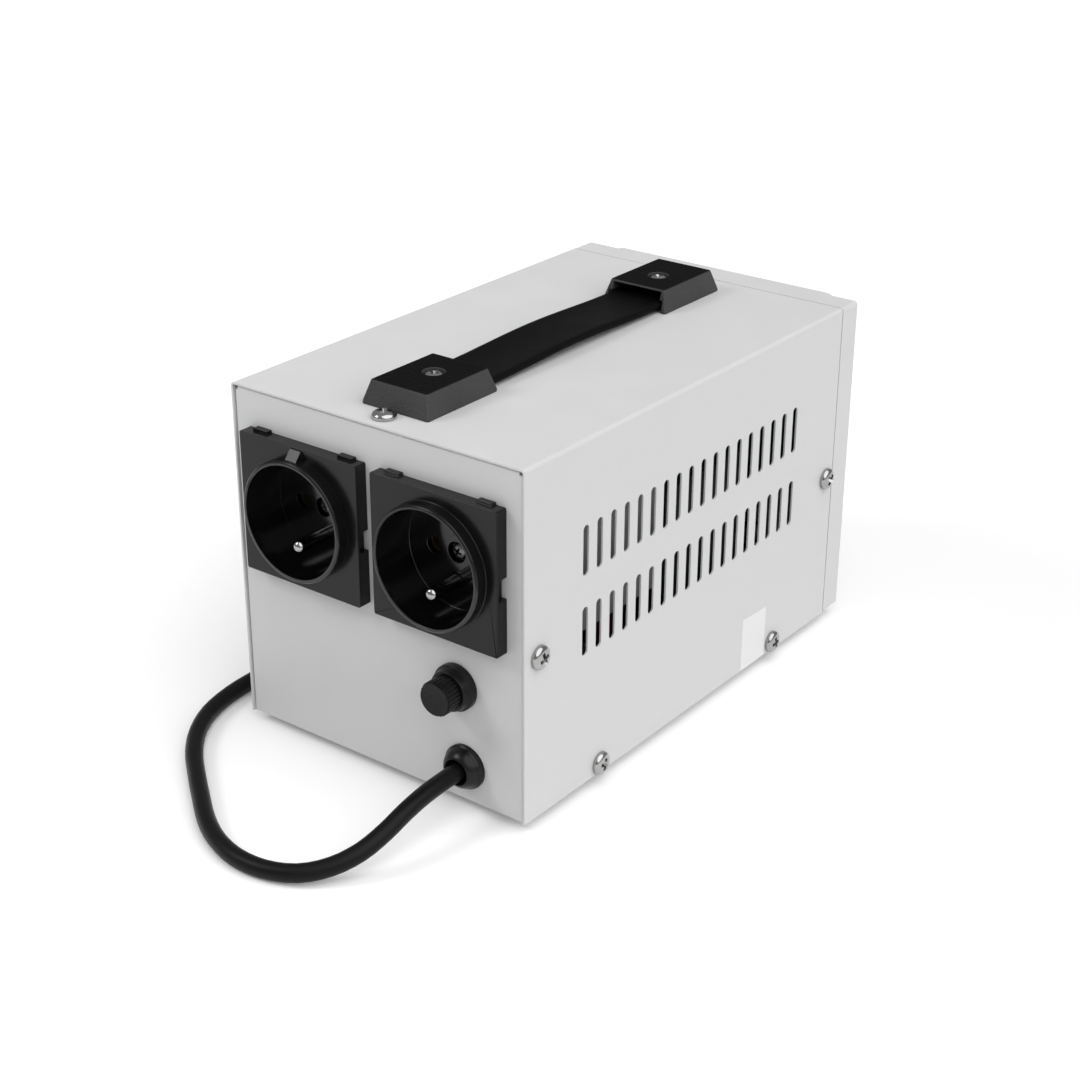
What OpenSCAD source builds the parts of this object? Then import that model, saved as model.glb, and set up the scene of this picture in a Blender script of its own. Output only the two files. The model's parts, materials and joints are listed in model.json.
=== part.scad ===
// Voltage stabilizer: steel case, two outlets, fuse, supply cord and carrying strap. Millimetres, +Z up.
// The rear panel with the outlets faces +Y, the front with the display faces -Y.
// The origin is on the floor below the middle of the case.

/* [Case] */
// Width over the cover
case_w = 125; // [124:0.5:127]
// Height of the cover, without feet and handle
case_h = 127; // [126:0.5:130]
// Length of the cover from the rear rim to the front seam
cover_l = 193.5; // [192:0.5:198]
// Sheet thickness of the cover
cover_t = 0.7; // [0.6:0.1:0.9]
// Height of the rubber feet
foot_h = 4; // [4:0.5:6]

/* [Ventilation] */
// Slots in one row
slot_count = 18; // [8:1:18]
// Distance from slot to slot
slot_pitch = 7.65; // [6:0.05:7.65]
// Width of a slot
slot_w = 3.1; // [2:0.1:3.6]
// Length of a slot
slot_l = 18; // [12:0.5:20]

/* [Outlets] */
// Diameter of the round recess for a plug
outlet_bore = 40.5; // [39.5:0.1:41]
// Depth of the recess
outlet_depth = 16.5; // [15:0.5:17]
// Sideways distance of an outlet from the middle
outlet_x = 29.1; // [28:0.1:30]

/* [Handle] */
// Width of the strap
strap_w = 23; // [20:0.5:23]
// Thickness of the strap
strap_t = 2.6; // [2:0.1:2.8]
// Height of the end caps over the cover
cap_h = 8.5; // [8:0.1:10]

/* [Front] */
// Width of the display window
window_w = 68; // [60:1:69]
// Height of the display window
window_h = 32; // [28:1:33]

/* [Supply cord] */
// Diameter of the cord
cord_d = 6.4; // [6:0.1:6.4]

/* [Parts] */
// The piece to show

/* [Hidden] */
$fn = 64;

// Colours
paint = [0.8, 0.8, 0.8];
black = [0.06, 0.06, 0.06];
soft_black = [0.09, 0.09, 0.09];
steel = [0.7, 0.7, 0.72];
brass = [0.78, 0.62, 0.32];
copper = [0.6, 0.3, 0.15];
board_green = [0.1, 0.35, 0.2];
relay_blue = [0.12, 0.25, 0.5];
smoke = [0.12, 0.12, 0.14];

// Gaps and cuts
cut = 1;
sheet_gap = 0.3;
snug = 0.1;

// Sheet metal
base_t = 1.2;
bend_r = 1.3;
panel_inset = 0.6;
panel_round = 0.8;
corner_notch = 1.4;
bezel_tuck = 1;
base_w = case_w - 2 * (cover_t + sheet_gap);
base_l = cover_l - bezel_tuck;
panel_h = case_h - cover_t - sheet_gap;
lip_h = 10;
lip_from = 14;
lip_to = 182;
flange_d = 12;
flange_low = 45;
flange_high = 75;
inner_plate_x = 53;
inner_plate_y = -87;
inner_plate_low = 52;
inner_plate_high = 100;
tab_w = 24;

// Small screws, the same for the cover, the feet and the boards
screw_d = 2.9;
board_screw_turn = 45;
cover_screw_turn = 37;
screw_bore = 3;
screw_pass = 3.4;
pan_d = 7;
pan_h = 2.2;
pan_edge = 1;
cover_pan_d = 8.4;
cover_pan_h = 2.6;
cover_pan_edge = 1.1;
small_pan_d = 5.5;
small_pan_h = 1.8;
small_pan_edge = 0.8;
cross_l = 4;
cross_w = 1;
cross_depth = 1.3;
cover_screw_l = 8;
side_screws = [[-7.5, 60], [-188.5, 60], [-42, 4], [-154, 4]];
top_screw_y = -7;

// Vents
slots_y = -97.5;
slot_rows = [58.7, 88.2];

// Outlets
outlet_z = 87.2;
plate_w = 52.2;
plate_h = 51;
plate_front = 4.5;
plate_r = 0.7;
collar_d = 43.5;
collar_front = 9.2;
collar_round = 0.8;
outlet_hole = 44.1;
floor_y = collar_front - outlet_depth;
floor_back = -12;
block_d = 38;
block_back = -22;
pin_spread = 9.5;
contact_hole = 5.4;
contact_d = 5.2;
contact_in = 4.9;
contact_front = -9.5;
contact_end = -20;
tail_w = 4.8;
tail_t = 0.8;
tail_end = -27;
earth_drop = 10;
earth_d = 4.8;
earth_hole = 5;
earth_tip = 7.2;
earth_end = -26;
sink_d = 7;
sink_depth = 2.4;
outlet_screw_d = 6.2;
outlet_screw_l = 9;
outlet_screw_turn = 20;
snap_x = 19;
snap_w = 6.2;
snap_h = 0.9;
snap_d = 2.5;
notch_from = 24;
notch_l = 7.4;
notch_in = 2;
skin_t = 1;
ramp_w = 4.8;
ramp_edge = 0.6;
ramp_top = 0.4;
ramp_drop = 1.2;

// Fuse holder
fuse_x = -34.2;
fuse_z = 42.8;
fuse_hole = 12.7;
fuse_flange_d = 16.8;
fuse_flange_y = 1.8;
fuse_cone_d = 15.6;
fuse_tip_d = 14.2;
fuse_tip_y = 4.8;
fuse_barrel_d = 12.4;
fuse_back = -23;
fuse_bore = 9;
fuse_bore_end = -19.2;
fuse_tab_w = 4.8;
fuse_tab_t = 0.8;
fuse_tab_l = 7;
fuse_side_y = -14;
fuse_nut_d = 18;
fuse_nut_t = 4;
fuse_cap_d = 12.4;
fuse_cap_y = 5.1;
fuse_cap_tip = 11.5;
fuse_face_d = 11.4;
fuse_face_h = 0.7;
fuse_groove_d = 0.8;
fuse_grooves = 28;
fuse_stem_d = 8.4;
fuse_pocket_d = 5.6;
fuse_pocket_y = 1.8;
cartridge_d = 5.2;
cartridge_front = 1.6;
cartridge_l = 20;
ferrule_l = 5.5;
ferrule_d = 5;

// Cord grommet
cord_x = -37.3;
cord_z = 13.3;
grommet_hole = 13.6;
grommet_d = 16.3;
grommet_brim = 1;
grommet_dome_d = 14.8;
grommet_tip = 5;
grommet_mouth = 9.2;
grommet_lip_d = 9.8;
grommet_flare = 2.5;
grommet_hub = 13.4;
grommet_back = -10;
grommet_latch_d = 15;
grommet_latch_y = -4;
cord_out = 0.5;
cord_in = -20;

// Handle caps, drawn with the open end toward -Y
cap_w = 28.4;
cap_l = 36;
cap_top_w = 24.6;
cap_top_l = 32;
cap_corner = 0.8;
cap_edge = 1;
cap_foot = 1;
cap_fn = 24;
cap_y = 30;
cap_low_play = 0.45;
cap_low_w = strap_w + 2 * cap_low_play;
cap_low_h = 4.5;
cap_high_w = 21.4;
cap_wall = 1;
cap_end_low = 2.4;
cap_end_high = 3.4;
cap_boss_d = 13;
cap_sink_d = 7.8;
cap_sink = 2.3;
cap_bore = 4.4;
cap_screw_y = -2;
handle_pan_d = 7;
handle_pan_h = 2;
handle_pan_edge = 0.9;
handle_screw_d = 3.9;
handle_screw_l = 12;
handle_hole = 4.4;
handle_turns = [15, 50];
handle_nut_w = 8.1;
handle_nut_t = 3.2;
handle_nut_bore = 4;

// Strap, a chain of five lengths. Pivot places run from the rear end to the front end.
strap_gap = 1.2;
strap_mid = case_h + strap_gap + strap_t / 2;
strap_end = 18.5;
grip_l = 26;
arm_l = 34;
pivot_b = slots_y + grip_l / 2;
pivot_a = pivot_b + arm_l;
pivot_c = slots_y - grip_l / 2;
pivot_d = pivot_c - arm_l;
strap_lift = 32;
bevel_play = 1;
bevel = strap_lift / 2 + bevel_play;
joint_gap = 0.15;
slot_play = 0.4;
slot_slack = 0.8;
strap_travel = arm_l * (1 - cos(strap_lift));
strap_slot_w = handle_screw_d + 2 * slot_play;

// Feet
foot_d = 16;
foot_x = 48;
foot_places = [-22, -174];
foot_sink_d = 8;
foot_sink = 2.6;
foot_screw_l = 6;

// Front bezel
bezel_gap = 0.5;
bezel_band = 11;
bezel_raise = 3.5;
bezel_wall = 2.5;
bezel_r = 1.5;
raised_side = 11;
raised_edge = 0.6;
raised_w = case_w - 2 * raised_side;
raised_low = raised_edge;
raised_high = case_h - raised_edge;
raised_r = 4;
band_front = cover_l + bezel_band;
raised_front = band_front + bezel_raise;
control_reach = 2.5;
rest_front = raised_front + control_reach;
boss_d = 7;
boss_side = 8.5;
boss_x = case_w / 2 - boss_side;
boss_low = 12;
boss_high = case_h - boss_low;
bezel_screw_l = 8;

// Display
window_drop = 40.4;
window_z = raised_high - window_drop;
window_r = 2;
lens_lip = 1.8;
lens_t = 1.4;
lens_fit = 0.2;
module_w = 64;
module_h = 28;
module_t = 8;
module_front = 205.2;
display_w = 96;
display_h = 62;
display_t = 1.6;
display_drop = 4;
display_z = window_z - display_drop;
display_front = module_front - module_t;
display_x = 44;
display_rise = 26;
post_d = 6;
display_screw_l = 6;
display_hole_w = 98;
display_hole_h = 64;
light_d = 3;
light_hole = 3.2;
light_drop = 28;
light_z = window_z - light_drop;
light_x = 20;
light_reach = 0.6;
light_brim_d = 3.8;
light_brim = 1;

// Power switch, rocker at its resting tilt
switch_x = -24;
controls_up = 2.2;
controls_z = (raised_low + display_z - display_h / 2) / 2 + controls_up;
switch_w = 12.8;
switch_h = 18.8;
switch_hole = 0.4;
switch_flange_w = 15.2;
switch_flange_h = 21.2;
switch_flange_t = 1.5;
switch_back = 192;
rocker_w = 10;
rocker_r = 8.2;
rocker_pivot = 205.3;
rocker_tilt = 8.5;
rocker_play = 0.4;
rocker_under = 3;
rocker_rise = rest_front - rocker_pivot;
rocker_end = asin(rocker_rise / rocker_r) - rocker_tilt;
rocker_mid = rocker_r * (sin(rocker_end) - cos(rocker_end) * tan(rocker_tilt));
switch_tab_l = 7;
switch_tab_w = 4.8;
switch_tab_t = 0.8;
switch_tab_x = 3;
switch_tab_z = 6;

// Delay button
delay_x = 24;
delay_flange_d = 14;
delay_flange_t = 1.3;
delay_body_d = 11.6;
delay_hole = 12;
delay_bore = 9.9;
delay_cap_d = 9.3;
delay_cap_back = 204.4;
delay_pocket = 202;
delay_stem_d = 3.6;
delay_stem_bore = 4.2;
delay_stem_back = 199.4;
delay_back = 190;

// Transformer
core_w = 96;
core_h = 80;
core_stack = 50;
core_y = -125;
leg_w = 32;
window_core_w = 16;
window_core_h = 48;
bobbin_fit = 0.3;
bobbin_wall = 1.4;
bobbin_out = 40;
winding_in = 1;
winding_r = 5;
bracket_t = 1.5;
bracket_h = 14;
bracket_foot = 11.5;
bracket_in = 2;
bolt_d = 4;
bolt_hole = 4.4;
bolt_edge = 6;
bolt_head_w = 8.1;
bolt_head_t = 2.8;
base_screw_x = 30;
base_screw_out = 7;
base_screw_l = 8;
base_nut_w = 8.1;
base_nut_t = 3.2;

// Control board
board_side = 6;
board_w = 74;
board_right = base_w / 2 - base_t - board_side;
board_left = board_right - board_w;
board_rear = -26;
board_front = -80;
board_t = 1.6;
board_lift = 8;
board_edge = 4;
standoff_w = 6;
board_screw_l = 6;
board_z = base_t + board_lift + board_t;
relay_w = 15.4;
relay_l = 19.2;
relay_h = 15.4;
relay_y = -62;
// Places across are distances from the board's right edge
relay_places = [64, 46, 28, 10];
capacitors = [[14, -42, 18, 30], [32, -44, 8, 12], [43, -45, 8, 12], [31, -32, 6.3, 11]];
terminal_in = 56;
terminal_x = board_right - terminal_in;
terminal_y = -32;
terminal_w = 20;
terminal_l = 9;
terminal_h = 12;
terminal_ways = 4;
terminal_pitch = 4.6;
terminal_hole = 2.8;
terminal_sink = 4;

// Earth stud
stud_x = -44;
stud_y = -48;
stud_d = 3.9;
stud_top = 14;
stud_head_d = 7;
stud_head_t = 2;
stud_nut_w = 8.1;
stud_nut_t = 3.2;

// Wires, in the case's own frame: the rear rim is y = 0 and the underside z = 0
wire_d = 2.4;
wire_sides = 8;
wire_air = 0.2;
switch_end = switch_tab_l + wire_air - switch_back;
switch_near = switch_x + switch_tab_x;
switch_far = switch_x - switch_tab_x;
pole_low = controls_z - switch_tab_z;
pole_high = controls_z + switch_tab_z;
fuse_feed = [[-36, -20.2, 14.7], [-35.7, -26, 17], [-35, -34, 26], [fuse_x, -37, 37], [fuse_x, -34, fuse_z],
    [fuse_x, -30.2, fuse_z]];
neutral_feed = [[-38.8, -20.2, 12.4], [-42, -26, 11], [-54, -36, 10], [-55, -60, 10], [-55, -168, 10],
    [-50, -178, 14], [switch_far, -181, pole_low], [switch_far, switch_end, pole_low]];
earth_feed = [[-36.1, -20.2, 11.7], [-38, -30, 12], [-41, -40, 13], [-42.4, -44.6, 16]];
live_to_switch = [[-46.7, -14, fuse_z], [-52.5, -20, 40], [-57, -34, 32], [-57, -60, 24], [-57, -168, 24],
    [-50, -177, 28], [switch_far, -181, pole_high], [switch_far, switch_end, pole_high]];
switch_to_board = [[switch_near, switch_end, pole_high], [-22, -178, 40],
    [-44, -172, 42], [-53, -164, 36], [-54, -150, 32], [-54, -92, 32], [-40, -74, 28], [-28, -52, 28],
    [-9, -36, 30], [-8.9, -32, 23.4]];
outlet_feed_left = [[-4.3, -32, 23.4], [-6, -33, 40], [-16, -36, 70], [-19.6, -34, 84], [-19.6, -31, outlet_z],
    [-19.6, -27.2, outlet_z]];
outlet_feed_right = [[0.3, -32, 23.4], [4, -33, 40], [16, -36, 70], [19.6, -34, 84], [19.6, -31, outlet_z],
    [19.6, -27.2, outlet_z]];
outlet_link = [[-38.6, -27.2, outlet_z], [-38.6, -31, 84], [-30, -42, 77], [0, -46, 74], [30, -42, 77],
    [38.6, -31, 84], [38.6, -27.2, outlet_z]];
earth_link = [[-45.6, -51.4, 16], [-46, -50, 34], [-44, -40, 60], [-34, -34, 72],
    [-29.1, -31, outlet_z - earth_drop], [-29.1, -26.2, outlet_z - earth_drop]];
lead_places = [0, 17, 35];
lead_route = [[-85.8, 56], [-79, 53], [-76.4, 28], [-76, 11.1]];

// Supply cord, in the part's own frame
rear_y = (rest_front - fuse_cap_tip) / 2;
cord_floor = cord_d / 2;
cord_sides = 12;
cord_start = [cord_x, rear_y + cord_out, foot_h + cord_z];
cord_exit = [[-37.3, 109.5, 17.2], [-37.3, 119.5, 16.7], [-37.3, 129.5, 15.1], [-36.9, 139.5, 12.1],
    [-34.8, 149, 8.7], [-29.8, 157.5, 5.7], [-22, 164.8, 3.9]];
cord_bend = [[-11, 169], [1, 169.5], [13, 166], [24, 160], [36, 151], [48, 141.5], [59, 132], [68, 121.5],
    [74.5, 109.5], [78, 96], [79, 82], [78.5, 66], [77.5, 48], [76.5, 28], [76, 6], [76, -15]];
coil_x = 122;
coil_y = -44;
coil_r = 46;
coil_turns = 4;
coil_rings = 24;
coil_sides = 6;
coil_pitch = 8.1;
coil_rise = 8.1;
coil_climb = 0.25;
tail_route = [[76, -54, 11.3], [76.1, -58, 11.5], [76.9, -64, 12.4], [78.8, -71.5, 14.4], [81, -79, 16.4],
    [82.3, -84.5, 17.6], [82.9, -88.5, 18.2], [83, -91, 18.3], [83, -92, 18.3]];

// Plug
plug_x = 83;
plug_z = 18.3;
relief_start = -92;
relief_d = 9;
relief_end_d = 14;
relief_l = 28;
relief_rings = 5;
relief_groove = 2;
relief_depth = 1;
plug_l = 34;
plug_d = 36.5;
plug_neck_d = 22;
plug_neck = 6;
plug_shoulder = 18;
plug_round = 1.5;
plug_earth_d = 5;
plug_earth_depth = 17;
plug_clip_w = 7;
plug_clip_depth = 1.6;
plug_clip_l = 14;
plug_pin_d = 4.8;
plug_pin_l = 19;

// A box between two corners
module slab(from, to) {
    translate(from) cube(to - from);
}

// Both sides of the middle
module both() {
    children();
    mirror([1, 0, 0]) children();
}

// From the case's own frame to the part's
module in_case() {
    translate([0, rear_y, foot_h]) children();
}

// Local +Z to the rear, local +Y down
module facing_rear() {
    rotate([-90, 0, 0]) children();
}

// Local +Z to the front, local +Y up
module facing_front() {
    rotate([90, 0, 0]) children();
}

// A profile drawn in Y and Z, drawn out evenly along X
module along_x(w) {
    rotate([90, 0, 90]) linear_extrude(w, center = true) children();
}

module round_rect(w, h, r) {
    square([w - 2 * r, h], center = true);
    square([w, h - 2 * r], center = true);
    for (sx = [-1, 1], sy = [-1, 1]) {
        translate([sx * (w / 2 - r), sy * (h / 2 - r)]) circle(r);
    }
}

module stadium(w, l) {
    square([w, l - w], center = true);
    for (s = [-1, 1]) {
        translate([0, s * (l - w) / 2]) circle(d = w);
    }
}

// Pan head with a cross recess. The head's underside is at z = 0 and the shank goes down.
module pan_screw(head_d, head_h, edge, shank_d, shank_l, turn) {
    drop = head_h - edge;
    dome = (pow(head_d / 2, 2) + drop * drop) / (2 * drop);
    difference() {
        intersection() {
            cylinder(d = head_d, h = head_h);
            translate([0, 0, head_h - dome]) sphere(dome);
        }
        translate([0, 0, head_h - cross_depth]) rotate(turn) {
            for (a = [0, 90]) {
                rotate(a) translate([-cross_l / 2, -cross_w / 2, 0])
                    cube([cross_l, cross_w, cross_depth + cut]);
            }
        }
    }
    translate([0, 0, -shank_l]) cylinder(d = shank_d, h = shank_l);
}

// A six-sided nut standing on z = 0
module nut(w, t, bore) {
    difference() {
        cylinder(d = w, h = t, $fn = 6);
        translate([0, 0, -cut]) cylinder(d = bore, h = t + 2 * cut);
    }
}

function unit(v) = v / norm(v);

function heading(pts, i) = i == 0 ? unit(pts[1] - pts[0])
    : i == len(pts) - 1 ? unit(pts[i] - pts[i - 1])
    : unit(unit(pts[i + 1] - pts[i]) + unit(pts[i] - pts[i - 1]));

// Sideways directions along a route, carried on from point to point so that the tube doesn't twist
function carry(pts, i, side) = i == len(pts) ? []
    : let (t = heading(pts, i), s = unit(side - (side * t) * t)) concat([s], carry(pts, i + 1, s));

function ring(c, t, s, r, n) = let (u = cross(s, t))
    [for (k = [0:n - 1]) c + r * (cos(360 * k / n) * s + sin(360 * k / n) * u)];

// A closed tube of n sides along a list of points
module tube(pts, r, n) {
    last = len(pts) - 1;
    across = carry(pts, 0, cross(heading(pts, 0), [0, 0, 1]));
    points = [for (i = [0:last]) each ring(pts[i], heading(pts, i), across[i], r, n)];
    sides = [for (i = [0:last - 1], k = [0:n - 1]) let (a = i * n + k, b = i * n + (k + 1) % n)
        each [[a, a + n, b + n], [a, b + n, b]]];
    ends = [for (k = [1:n - 2]) each [[0, k, k + 1], [last * n, last * n + k + 1, last * n + k]]];
    polyhedron(points = points, faces = concat(sides, ends));
}

// A covered wire along a list of points
module wire(points) {
    tube(points, wire_d / 2, wire_sides);
}

// The cover's outline, open below, with its feet on y = 0
module cover_outline(w, h, r) {
    translate([-w / 2, 0]) square([w, h - r]);
    translate([r - w / 2, 0]) square([w - 2 * r, h]);
    for (s = [-1, 1]) {
        translate([s * (w / 2 - r), h - r]) circle(r);
    }
}

module top_cover() {
    color(paint) in_case() difference() {
        facing_front() linear_extrude(cover_l) difference() {
            cover_outline(case_w, case_h, bend_r);
            translate([0, -cover_t]) cover_outline(case_w - 2 * cover_t, case_h, bend_r - cover_t);
        }
        for (z = slot_rows, i = [0:slot_count - 1]) {
            translate([0, slots_y + (i - (slot_count - 1) / 2) * slot_pitch, z])
                along_x(case_w + 2 * cut) stadium(slot_w, slot_l);
        }
        for (p = side_screws) {
            translate([0, p[0], p[1]]) rotate([0, 90, 0])
                cylinder(d = screw_pass, h = case_w + 2 * cut, center = true);
        }
        translate([0, top_screw_y, case_h - cover_t - cut]) cylinder(d = screw_pass, h = cover_t + 2 * cut);
        for (y = [-cap_y + cap_screw_y, 2 * slots_y + cap_y - cap_screw_y]) {
            translate([0, y, case_h - cover_t - cut]) cylinder(d = handle_hole, h = cover_t + 2 * cut);
        }
    }
}

module base_chassis() {
    inner = base_w / 2 - base_t;
    color(paint) in_case() difference() {
        union() {
            slab([-base_w / 2, -base_l, 0], [base_w / 2, -panel_inset, base_t]);
            slab([-base_w / 2, -panel_inset - base_t, 0], [base_w / 2, -panel_inset, panel_h]);
            slab([-base_w / 2, -base_l, 0], [base_w / 2, base_t - base_l, panel_h]);
            slab([-tab_w / 2, -panel_inset - flange_d, panel_h - base_t],
                [tab_w / 2, -panel_inset, panel_h]);
            both() {
                slab([inner, -lip_to, 0], [base_w / 2, -lip_from, lip_h]);
                slab([inner, -panel_inset - flange_d, flange_low], [base_w / 2, -panel_inset, flange_high]);
                slab([inner, -base_l, flange_low], [base_w / 2, flange_d - base_l, flange_high]);
                slab([inner_plate_x, inner_plate_y, inner_plate_low],
                    [inner_plate_x + base_t, -panel_inset - base_t / 2, inner_plate_high]);
            }
        }
        // Rear panel: folded edges, and a notch in each upper corner
        both() slab([base_w / 2 - corner_notch, -panel_inset - base_t - cut, panel_h - corner_notch],
            [base_w / 2 + cut, -panel_inset + cut, panel_h + cut]);
        both() difference() {
            slab([base_w / 2 - panel_round, -panel_inset - panel_round, -cut],
                [base_w / 2 + cut, -panel_inset + cut, panel_h + cut]);
            translate([base_w / 2 - panel_round, -panel_inset - panel_round, -2 * cut])
                cylinder(r = panel_round, h = panel_h + 4 * cut);
        }
        for (z = [panel_round, panel_h - panel_round]) {
            along_x(case_w) difference() {
                translate([-panel_inset - panel_round, z - (z < panel_h / 2 ? panel_round + cut : 0)])
                    square(panel_round + cut);
                translate([-panel_inset - panel_round, z]) circle(panel_round);
            }
        }
        for (s = [-1, 1]) {
            translate([s * outlet_x, 0, outlet_z]) rear_hole(outlet_hole);
        }
        translate([fuse_x, 0, fuse_z]) rear_hole(fuse_hole);
        translate([cord_x, 0, cord_z]) rear_hole(grommet_hole);
        translate([0, top_screw_y, panel_h - base_t - cut]) cylinder(d = screw_bore, h = base_t + 2 * cut);
        // Sides
        for (p = side_screws) {
            translate([0, p[0], p[1]]) rotate([0, 90, 0])
                cylinder(d = screw_bore, h = case_w, center = true);
        }
        // Front panel
        slab([-display_hole_w / 2, -base_l - cut, display_z - display_hole_h / 2],
            [display_hole_w / 2, base_t - base_l + cut, display_z + display_hole_h / 2]);
        translate([switch_x, -base_l - cut, controls_z])
            slab([-switch_w / 2 - switch_hole, 0, -switch_h / 2 - switch_hole],
            [switch_w / 2 + switch_hole, base_t + 2 * cut, switch_h / 2 + switch_hole]);
        translate([delay_x, base_t - base_l + cut, controls_z]) facing_front()
            cylinder(d = delay_hole, h = base_t + 2 * cut);
        for (x = [-boss_x, boss_x], z = [boss_low, boss_high]) {
            translate([x, base_t - base_l + cut, z]) facing_front()
                cylinder(d = screw_pass, h = base_t + 2 * cut);
        }
        // Floor
        for (x = [-foot_x, foot_x], y = foot_places) {
            translate([x, y, -cut]) cylinder(d = screw_bore, h = base_t + 2 * cut);
        }
        for (x = [-base_screw_x, base_screw_x], s = [-1, 1]) {
            translate([x, core_y + s * (core_stack / 2 + base_screw_out), -cut])
                cylinder(d = bolt_hole, h = base_t + 2 * cut);
        }
        translate([stud_x, stud_y, -cut]) cylinder(d = stud_d + 2 * snug, h = base_t + 2 * cut);
    }
}

// A round hole through the rear panel
module rear_hole(d) {
    translate([0, -panel_inset - base_t - cut, 0]) facing_rear() cylinder(d = d, h = base_t + 2 * cut);
}

module cover_screw(turn) {
    pan_screw(cover_pan_d, cover_pan_h, cover_pan_edge, screw_d, cover_screw_l, turn);
}

module cover_screws() {
    color(steel) in_case() {
        for (i = [0:len(side_screws) - 1], s = [-1, 1]) {
            translate([s * case_w / 2, side_screws[i][0], side_screws[i][1]])
                rotate([0, 90 * s, 0]) cover_screw(cover_screw_turn * i);
        }
        translate([0, top_screw_y, case_h]) cover_screw(cover_screw_turn);
    }
}

module rubber_feet() {
    color(soft_black) for (x = [-foot_x, foot_x], y = foot_places) {
        translate([x, rear_y + y, 0]) difference() {
            cylinder(d = foot_d, h = foot_h);
            translate([0, 0, -cut]) cylinder(d = foot_sink_d, h = foot_sink + cut);
            translate([0, 0, -cut]) cylinder(d = screw_pass, h = foot_h + 2 * cut);
        }
    }
}

module foot_screws() {
    color(steel) for (x = [-foot_x, foot_x], y = foot_places) {
        translate([x, rear_y + y, foot_sink]) mirror([0, 0, 1])
            pan_screw(small_pan_d, small_pan_h, small_pan_edge, screw_d, foot_screw_l, 0);
    }
}

// One outlet on its axis, seen from behind the case: local +Z to the rear, local +Y down
module outlet_body(with_ramp) {
    color(black) difference() {
        union() {
            translate([0, 0, -panel_inset]) linear_extrude(plate_front + panel_inset)
                round_rect(plate_w, plate_h, plate_r);
            rotate_extrude() outlet_collar();
            translate([0, 0, block_back]) cylinder(d = block_d, h = floor_back - block_back);
            // Snap tabs on the upper edge
            for (s = [-1, 1]) {
                slab([s * snap_x - snap_w / 2, -plate_h / 2 - snap_h, -panel_inset],
                    [s * snap_x + snap_w / 2, 0, snap_d - panel_inset]);
            }
            if (with_ramp) outlet_ramp();
        }
        // Notch behind the front skin, half-way down the right-hand side
        slab([-plate_w / 2 - cut, notch_from - plate_h / 2, -panel_inset - cut],
            [notch_in - plate_w / 2, notch_from + notch_l - plate_h / 2, plate_front - skin_t]);
        translate([0, 0, floor_y]) cylinder(d = outlet_bore, h = outlet_depth + cut);
        for (s = [-1, 1]) {
            translate([s * pin_spread, 0, block_back - cut])
                cylinder(d = contact_hole, h = floor_y - block_back + 2 * cut);
        }
        translate([0, earth_drop, block_back - cut])
            cylinder(d = earth_hole, h = floor_y - block_back + 2 * cut);
        translate([0, 0, floor_y - sink_depth]) cylinder(d = sink_d, h = sink_depth + cut);
        translate([0, 0, block_back - cut]) cylinder(d = screw_bore, h = floor_y - block_back + cut);
    }
}

// Half outline of the collar and the barrel behind it, without the recess
module outlet_collar() {
    translate([0, floor_back]) square([collar_d / 2, collar_front - collar_round - floor_back]);
    translate([0, floor_back]) square([collar_d / 2 - collar_round, collar_front - floor_back]);
    translate([collar_d / 2 - collar_round, collar_front - collar_round]) circle(collar_round);
}

// A small ramp from the plate's upper edge to the collar's rim
module outlet_ramp() {
    edge = ramp_edge - plate_h / 2;
    rim = -outlet_bore / 2 - collar_round;
    along_x(ramp_w)
        polygon([[edge, 0], [edge, plate_front + ramp_top], [rim, collar_front - ramp_drop], [rim, 0]]);
}

module at_outlet(side) {
    in_case() translate([side * outlet_x, 0, outlet_z]) facing_rear() children();
}

// Left and right as seen from behind the case
module outlet_body_left() {
    at_outlet(1) outlet_body(true);
}

module outlet_body_right() {
    at_outlet(-1) outlet_body(false);
}

module outlet_earth_pins() {
    color(steel) for (s = [-1, 1]) {
        at_outlet(s) translate([0, earth_drop, 0]) {
            translate([0, 0, earth_end]) cylinder(d = earth_d, h = earth_tip - earth_d / 2 - earth_end);
            translate([0, 0, earth_tip - earth_d / 2]) sphere(d = earth_d);
        }
    }
}

module outlet_contacts() {
    color(brass) for (s = [-1, 1], t = [-1, 1]) {
        at_outlet(s) translate([t * pin_spread, 0, 0]) {
            difference() {
                translate([0, 0, contact_end]) cylinder(d = contact_d, h = contact_front - contact_end);
                translate([0, 0, contact_end + cut])
                    cylinder(d = contact_in, h = contact_front - contact_end);
            }
            slab([-tail_w / 2, -tail_t / 2, tail_end], [tail_w / 2, tail_t / 2, contact_end + cut]);
        }
    }
}

module outlet_screws() {
    color(steel) for (s = [-1, 1]) {
        at_outlet(s) translate([0, 0, floor_y - sink_depth])
            pan_screw(outlet_screw_d, small_pan_h, small_pan_edge, screw_d, outlet_screw_l, outlet_screw_turn * s);
    }
}

module at_fuse() {
    in_case() translate([fuse_x, 0, fuse_z]) facing_rear() children();
}

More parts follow.
